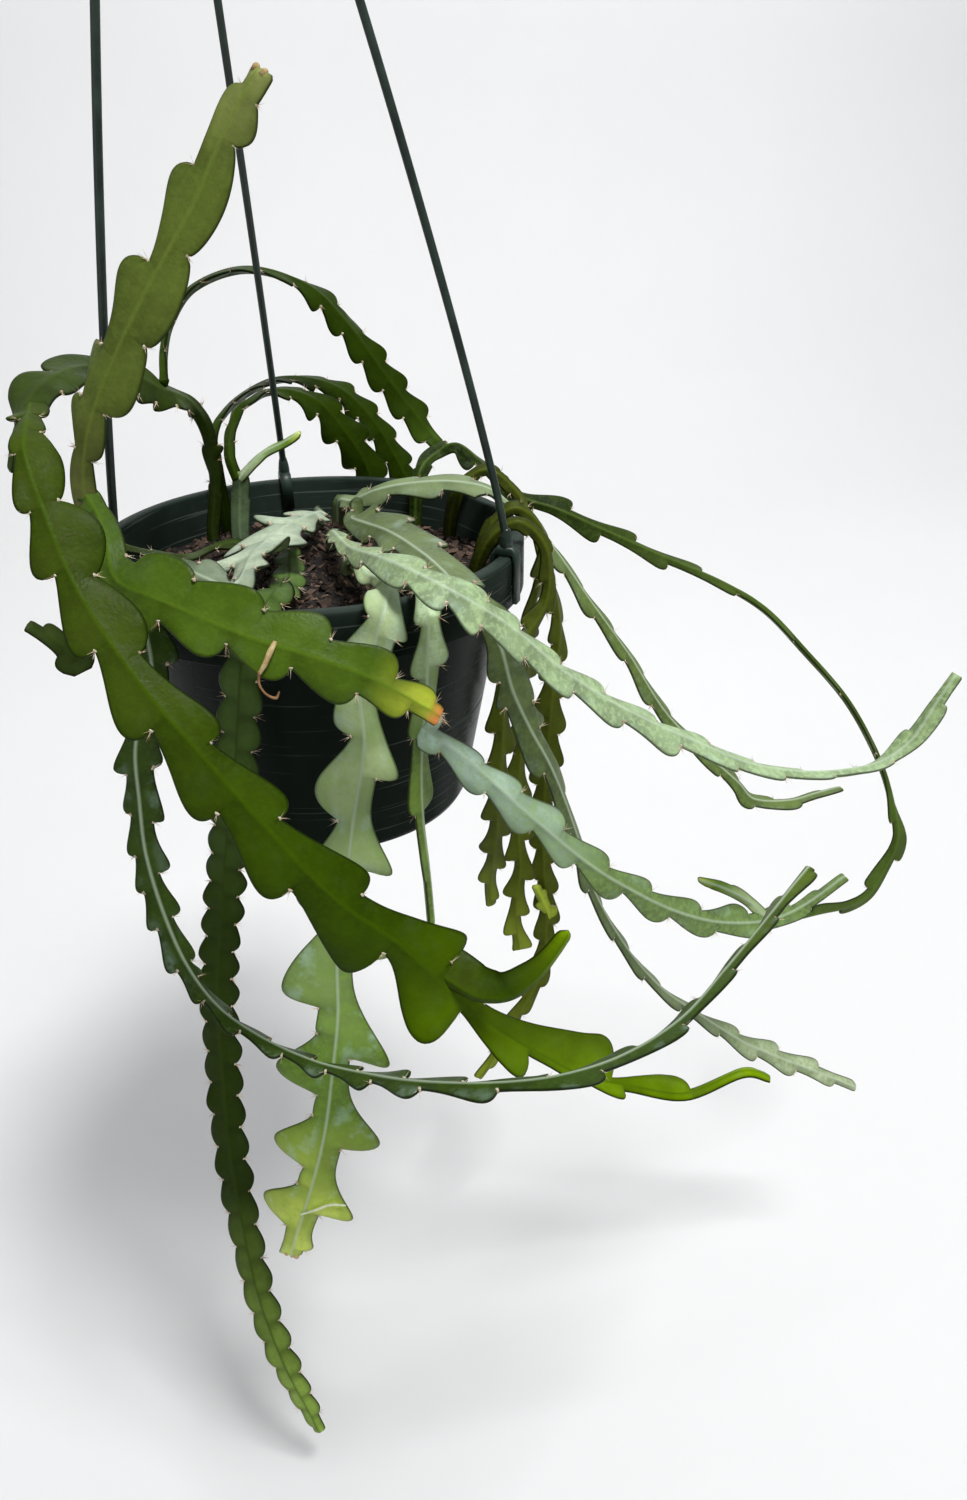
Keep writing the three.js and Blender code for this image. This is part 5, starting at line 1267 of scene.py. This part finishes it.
for cosine, sine in circle(DRAIN_HOLES):
    plug = bmesh.new()
    centre = metres([DRAIN_CIRCLE * cosine, DRAIN_CIRCLE * sine, -POT_HEIGHT + 1])
    bmesh.ops.create_cone(plug, cap_ends=True, segments=24, radius1=DRAIN_RADIUS / 1000,
                          radius2=DRAIN_RADIUS / 1000, depth=DRAIN_DEPTH / 1000,
                          matrix=Matrix.Translation(centre))
    plug_mesh = bpy.data.meshes.new("plug")
    plug.to_mesh(plug_mesh)
    plug.free()
    cutter = bpy.data.objects.new("plug", plug_mesh)
    bpy.context.collection.objects.link(cutter)
    cut = pot.modifiers.new("drain", "BOOLEAN")
    cut.object = cutter
    cut.operation = "DIFFERENCE"
    with bpy.context.temp_override(object=pot, active_object=pot):
        bpy.ops.object.modifier_apply(modifier="drain")
    bpy.data.objects.remove(cutter)
pot.data.polygons.foreach_set("use_smooth", [True] * len(pot.data.polygons))
print("pot faces:", len(pot.data.polygons))

# %% [markdown]
# The plastic is nearly black green with a dull gloss. Handling has left faint slanting scratches on it, which
# show as broken pale lines, and faces turned upward are paler, partly from a little dust and partly as a
# painted highlight.

# %% Pot finish
plastic = Finish("pot_plastic", 0.3, Specular_IOR_Level=0.012)
mist = plastic.times(plastic.patches(22.0, 0.45, 0.75), 0.25)
pot_tone = plastic.mix(mist, srgb(8, 18, 12), srgb(22, 34, 27))
# Paler on faces turned upward: a little dust, and partly a painted highlight.
pot_tone = plastic.mix(plastic.bloom_and_painted_sheen(12.0, 0.16, 0.9), pot_tone, srgb(120, 136, 126))
slant = node(plastic.tree, "ShaderNodeMapping")
slant.inputs["Rotation"].default_value = (0.5, 0.35, 0.2)
slant.inputs["Scale"].default_value = (4.0, 4.0, 190.0)
pot_place = node(plastic.tree, "ShaderNodeTexCoord")
scratch = node(plastic.tree, "ShaderNodeTexNoise")
scratch.inputs["Scale"].default_value = 3.0
scratch.inputs["Detail"].default_value = 2.0
wire(plastic.tree, (pot_place, "Object", slant, "Vector"), (slant, "Vector", scratch, "Vector"))
scratch_lines = plastic.span(scratch.outputs["Fac"], 0.62, 0.7)
plastic.color(plastic.mix(plastic.times(scratch_lines, 0.3), pot_tone, srgb(112, 124, 116)))
plastic.rough(plastic.span(scratch_lines, 0.0, 1.0, 0.26, 0.48))
plastic.grain(60.0, 18.0, 0.0012, 0.25)
seat(dress(pot, plastic.material), "pot_plastic", "pot")

# %% [markdown]
# ## The hanger
# Three stiff plastic strands clip over the rim and meet in a small hub under a hook. Each strand is one
# moulding: a band bent over the rim, a short collar, and the long thin rod.

# %% Rod helper
HOOK_TOP = -RIM_FROM_HOOK
STRANDS_MEET = HOOK_TOP + [0, 0, -20]
HUB_BOTTOM = 382.0
HUB_TOP = 397.0
STRAND_AZIMUTHS = {"strand_left": 214, "strand_back": 97, "strand_right": 331}


def rod_mesh(route, radii, sides=16):
    """A round rod along a smooth route, with domed ends."""
    line = spline(route)
    tangents = np.gradient(line, axis=0)
    tangents /= np.linalg.norm(tangents, axis=1, keepdims=True)
    first = np.cross(tangents, np.array([0.31, 0.87, 0.12]))
    first /= np.linalg.norm(first, axis=1, keepdims=True)
    second = np.cross(tangents, first)
    radii = np.interp(np.linspace(0, 1, len(line)), np.linspace(0, 1, len(radii)), radii)
    around = circle(sides)
    points = []
    for centre, a, b, radius in zip(line, first, second, radii):
        points += [centre + (a * cosine + b * sine) * radius for cosine, sine in around]
    last = len(points) - sides
    points.append(line[0] - tangents[0] * radii[0] * 0.5)
    points.append(line[-1] + tangents[-1] * radii[-1] * 0.5)
    faces = tube_faces(len(line), sides) + fan_faces(0, sides, last + sides, flip=True)
    return points, faces + fan_faces(last, sides, last + sides + 1)


# %% Strands and clips
STRAND_RADIUS = 1.75
STRAND_BOW = 5
STRAND_SHARES = (0, 0.05, 0.2, 0.4, 0.6, 0.8, 0.95, 1)
SOCKET_DEPTH = 7
COLLAR_HEIGHTS = (-4, -1, 2, 5)
COLLAR_RADII = (3.0, 3.0, 2.6, 1.9)
CLIP_RADIUS = 98
CLIP_TOP = 7.0
CLIP_THICKNESS = 2.2
# Across the band's width: how far its edges are drawn in there, and how far that is from its middle.
CLIP_SECTIONS = ((0.35, -3.0), (0.0, -2.6), (0.0, 2.6), (0.35, 3.0))


def clip_top(azimuth):
    angle = math.radians(azimuth)
    return np.array([CLIP_RADIUS * math.cos(angle), CLIP_RADIUS * math.sin(angle), CLIP_TOP])


def strand_route(azimuth):
    start = clip_top(azimuth)
    outward = np.array([start[0] - STRANDS_MEET[0], start[1] - STRANDS_MEET[1], 0])
    outward /= np.linalg.norm(outward)
    stop = (HUB_BOTTOM + SOCKET_DEPTH - SEAT_GAP - start[2]) / (STRANDS_MEET[2] - start[2])
    route = []
    for share in STRAND_SHARES:
        place = start + (STRANDS_MEET - start) * share * stop
        route.append(place + outward * STRAND_BOW * math.sin(math.pi * share**0.7))
    return route


def clip_mesh(azimuth):
    """The band over the rim: an outline across the rim, swept over the band's width with eased sides."""
    inner, outer = INNER_TOP_RADIUS - 0.75, RIM_RADIUS + SEAT_GAP
    outside = [(outer + 2.2, -22), (outer + 2.2, 1.2), (outer - 0.4, 4.3), (inner + 0.6, 4.3),
               (inner - 2.2, 1.2), (inner - 4.6, -14)]
    inside = [(outer, -22), (outer, -6), (outer, 0.4), (inner, 0.4), (inner - 1, -6), (inner - 2.6, -14)]
    angle = math.radians(azimuth)
    ahead = np.array([math.cos(angle), math.sin(angle), 0])
    aside = np.array([-math.sin(angle), math.cos(angle), 0])
    points = []
    for ease, offset in CLIP_SECTIONS:
        for (far_r, far_z), (near_r, near_z) in zip(outside, inside):
            for share in (ease / CLIP_THICKNESS, 1 - ease / CLIP_THICKNESS):
                radius = near_r + (far_r - near_r) * share
                z = near_z + (far_z - near_z) * share
                points.append(ahead * radius + aside * offset + np.array([0, 0, z]))
    faces = []
    ring = 2 * len(outside)
    loop = [2 * k for k in range(len(outside))] + [2 * k + 1 for k in reversed(range(len(outside)))]
    for low in (0, ring, 2 * ring):
        high = low + ring
        faces += [(low + a, high + a, high + b, low + b) for a, b in zip(loop, loop[1:] + loop[:1])]
    for k in range(0, ring - 2, 2):
        end = 3 * ring + k
        faces += [(k, k + 2, k + 3, k + 1), (end + 1, end + 3, end + 2, end)]
    return points, faces


def build_strand(name, azimuth):
    collar = [clip_top(azimuth) + np.array([0, 0, z]) for z in COLLAR_HEIGHTS]
    collar_rod = rod_mesh(collar, COLLAR_RADII)
    long_rod = rod_mesh(strand_route(azimuth), [STRAND_RADIUS, STRAND_RADIUS])
    return Pile(clip_mesh(azimuth), collar_rod, long_rod).object(name + "_rod")


# %% Hanger finish
rod_plastic = Finish("hanger_plastic", 0.38)
rod_tone = rod_plastic.patches(60.0, 0.4, 0.7)
rod_plastic.color(rod_plastic.mix(rod_tone, srgb(18, 32, 25), srgb(34, 54, 42)))
rod_plastic.rough(rod_plastic.span(rod_tone, 0.0, 1.0, 0.32, 0.5))
rod_plastic.grain(1200.0, 300.0, 0.0002, 0.3)
for name, azimuth in STRAND_AZIMUTHS.items():
    seat(dress(build_strand(name, azimuth), rod_plastic.material), "hanger_plastic", name)
print("strands:", len(STRAND_AZIMUTHS))

# %% Hook and hub
HOOK_INNER_RADIUS = 15.0
HOOK_ROD_RADIUS = 2.5
HOOK_X = HOOK_TOP[0]
HOOK_Z = HOOK_TOP[2] - HOOK_INNER_RADIUS
BEND_RADIUS = HOOK_INNER_RADIUS + HOOK_ROD_RADIUS
HUB_RADIUS = 15

hook_route = [
    (HOOK_X, 0, HUB_TOP - 4),
    (HOOK_X, 0, HUB_TOP + 5),
    (HOOK_X + 4, 0, HOOK_Z - BEND_RADIUS - 1.5),
]
for degrees in range(-45, 206, 25):
    angle = math.radians(degrees)
    hook_route.append((HOOK_X + BEND_RADIUS * math.cos(angle), 0, HOOK_Z + BEND_RADIUS * math.sin(angle)))
hub_outline = [
    (0, HUB_BOTTOM),
    (HUB_RADIUS - 1.5, HUB_BOTTOM),
    (HUB_RADIUS, HUB_BOTTOM + 1.5),
    (HUB_RADIUS, HUB_BOTTOM + 9),
    (4, HUB_TOP),
    (0, HUB_TOP),
]
hub_points, hub_faces = spin(hub_outline, 64, 0.8)
hub_points = np.array(hub_points) + np.array([HOOK_X, 0, 0])
hook_rod = rod_mesh(hook_route, [HOOK_ROD_RADIUS, HOOK_ROD_RADIUS], 20)
hook = Pile((hub_points, hub_faces), hook_rod).object("hook_and_hub")
seat(dress(hook, rod_plastic.material), "hanger_plastic", "hanger_hook")
print("hook faces:", len(hook.data.polygons))

# %% [markdown]
# ## Small things that cling to the plant
# A dried flower hangs from the bright branch, a pale hair lies across the broad front stem, the bright branch
# ends in a tuft of brown bristles, and the tips carry small corky knobs. Each is a thin rod or a low pad laid
# on the blade by its place along the stem, across it and off its face.

# %% Small things
LINES = {stem["node"]: [branch["line"] for branch in stem["branches"]] for stem in STEMS}
TALL_LINE, BRIGHT_LINE = LINES["stem_upright"]
BROAD_LINE = LINES["stem_front_broad"][0]


def spot(line, u, across=0.0, lift=0.0):
    """A place on a blade: along the stem, to its side, and off its face, in millimetres."""
    centre, out, side = (value[0] for value in line.at(np.array([float(u)])))
    return centre + side * across + out * lift


def thread(name, places, radii, finish, slot_name):
    return seat(dress(Pile(rod_mesh(places, radii, 8)).object(name), finish.material), slot_name)


straw = patchy_finish("dried_flower", 0.8, (260.0, 0.4, 0.65), (196, 178, 128), (150, 122, 74))
brown = patchy_finish("dried_thread", 0.8, (300.0, 0.4, 0.65), (120, 84, 50), (160, 118, 78))
hair = patchy_finish("pale_hair", 0.5, (300.0, 0.4, 0.65), (236, 240, 214), (206, 214, 170))

# The withered end hangs from the flower's last point by these steps.
WITHER_STEPS = [(0, 0, 0.8), (-0.5, -0.6, -4), (1.5, -1, -8), (5, -1.2, -10), (6.5, -1.2, -7.5)]
FLOWER_PLACES = [(113, 1, 1.8), (112.5, -3, 3.4), (112, -8, 3.6), (111, -12, 3.2)]
HAIR_PLACES = [(417, -1, 2.4), (412, 5, 2.2), (407, 11, 1.6), (405, 18, 1.2)]
TUFT_BRISTLES = 11
TUFT_SPREAD = 1.6
TUFT_LENGTHS = (3.5, 6.5)
TUFT_RADIUS = 0.28
KNOB_SIZE = (1.7, 2.2)
flower = [spot(BRIGHT_LINE, *place) for place in FLOWER_PLACES]
wither = [flower[-1] + np.array(step) for step in WITHER_STEPS]
hair_way = [spot(BROAD_LINE, *place) for place in HAIR_PLACES]
things = [
    thread("dried_flower", flower, [0.9, 1.2, 1.0, 0.7], straw, "stem_yellow_green"),
    thread("dried_flower_thread", wither, [0.6, 0.45, 0.4, 0.6, 0.3], brown, "stem_yellow_green"),
    thread("pale_hair", hair_way, [0.5, 0.6, 0.6, 0.4], hair, "stem_green"),
]

tufts = Pile()
knobs = Pile()
chance = np.random.default_rng(77)
tip = spot(BRIGHT_LINE, BRIGHT_LINE.length)
back = spot(BRIGHT_LINE, BRIGHT_LINE.length - 6)
ahead = (tip - back) / np.linalg.norm(tip - back)
for _ in range(TUFT_BRISTLES):
    start = tip + chance.uniform(-TUFT_SPREAD, TUFT_SPREAD, 3) - ahead
    way = ahead + chance.uniform(-0.5, 0.5, 3)
    tufts.add(*bristle_mesh(start, start + way * chance.uniform(*TUFT_LENGTHS), TUFT_RADIUS))
for line, places in ((TALL_LINE, (-1.8, 1.8)), (BROAD_LINE, (-2.2, 0.6, 2.6))):
    for place in places:
        end = spot(line, line.length - 1.2, place)
        inner = spot(line, line.length - 7, place * 0.6)
        knobs.add(*pad_mesh(end, end - inner, *KNOB_SIZE))
things.append(seat(dress(tufts.object("tip_bristles", smooth=False), bristle.material), "stem_yellow_green"))
things.append(seat(dress(knobs.object("tip_knobs"), straw.material), "stem_green"))
print("small things:", [thing.name for thing in things])

# %% [markdown]
# ## The stage
# A plain pale floor that curves up into a backdrop, a broad soft lamp high on the right, a weaker one on the
# left, one that lights the backdrop from above, and an even pale sky. The shadow then falls softly to the
# lower left, as in the photograph.

# %% Floor and backdrop
FLOOR_Z = -0.955
COVE_START = 1.6
COVE_RADIUS = 0.9
COVE_STEPS = 12
COVE_SIDES = (-4.5, 5.0)
cove_outline = [(-3.5, 0.0), (COVE_START, 0.0)]
for step in range(1, COVE_STEPS + 1):
    angle = math.radians(90 * step / COVE_STEPS)
    cove_y = COVE_START + COVE_RADIUS * math.sin(angle)
    cove_outline.append((cove_y, COVE_RADIUS - COVE_RADIUS * math.cos(angle)))
cove_outline.append((COVE_START + COVE_RADIUS, 4.5))
cove_points = [(x, y, FLOOR_Z + z) for y, z in cove_outline for x in COVE_SIDES]
cove_faces = [(k, k + 1, k + 3, k + 2) for k in range(0, len(cove_points) - 2, 2)]
cove = make_object("backdrop", cove_points, cove_faces)
paper = Finish("backdrop_paper", 0.9)
paper_tone = paper.patches(1.5, 0.3, 0.7)
paper.color(paper.mix(paper_tone, (0.745, 0.745, 0.745, 1.0), (0.765, 0.765, 0.765, 1.0)))
dress(cove, paper.material)
print("backdrop faces:", len(cove_faces))

# %% Lamps


def lamp(name, place, target, size, power):
    data = bpy.data.lights.new(name, "AREA")
    data.shape = "DISK"
    data.size = size
    data.energy = power
    item = bpy.data.objects.new(name, data)
    item.location = place
    item.rotation_euler = (Vector(target) - Vector(place)).to_track_quat("-Z", "Y").to_euler()
    bpy.context.collection.objects.link(item)


lamp("key_lamp", (0.75, -0.85, 2.4), (0.0, 0, -0.5), 0.8, 92)
lamp("fill_lamp", (-1.6, -1.3, 0.4), (0.05, 0, -0.5), 1.4, 3)
lamp("wall_lamp", (0.7, 0.9, 2.1), (0.6, 2.5, 1.1), 2.0, 38)
world = bpy.data.worlds.new("studio")
world.use_nodes = True
world.node_tree.nodes["Background"].inputs["Color"].default_value = (0.95, 0.97, 1.0, 1.0)
world.node_tree.nodes["Background"].inputs["Strength"].default_value = 0.36
bpy.context.scene.world = world
bpy.context.scene.view_settings.view_transform = "Standard"
print("lamps:", len(bpy.data.lights))
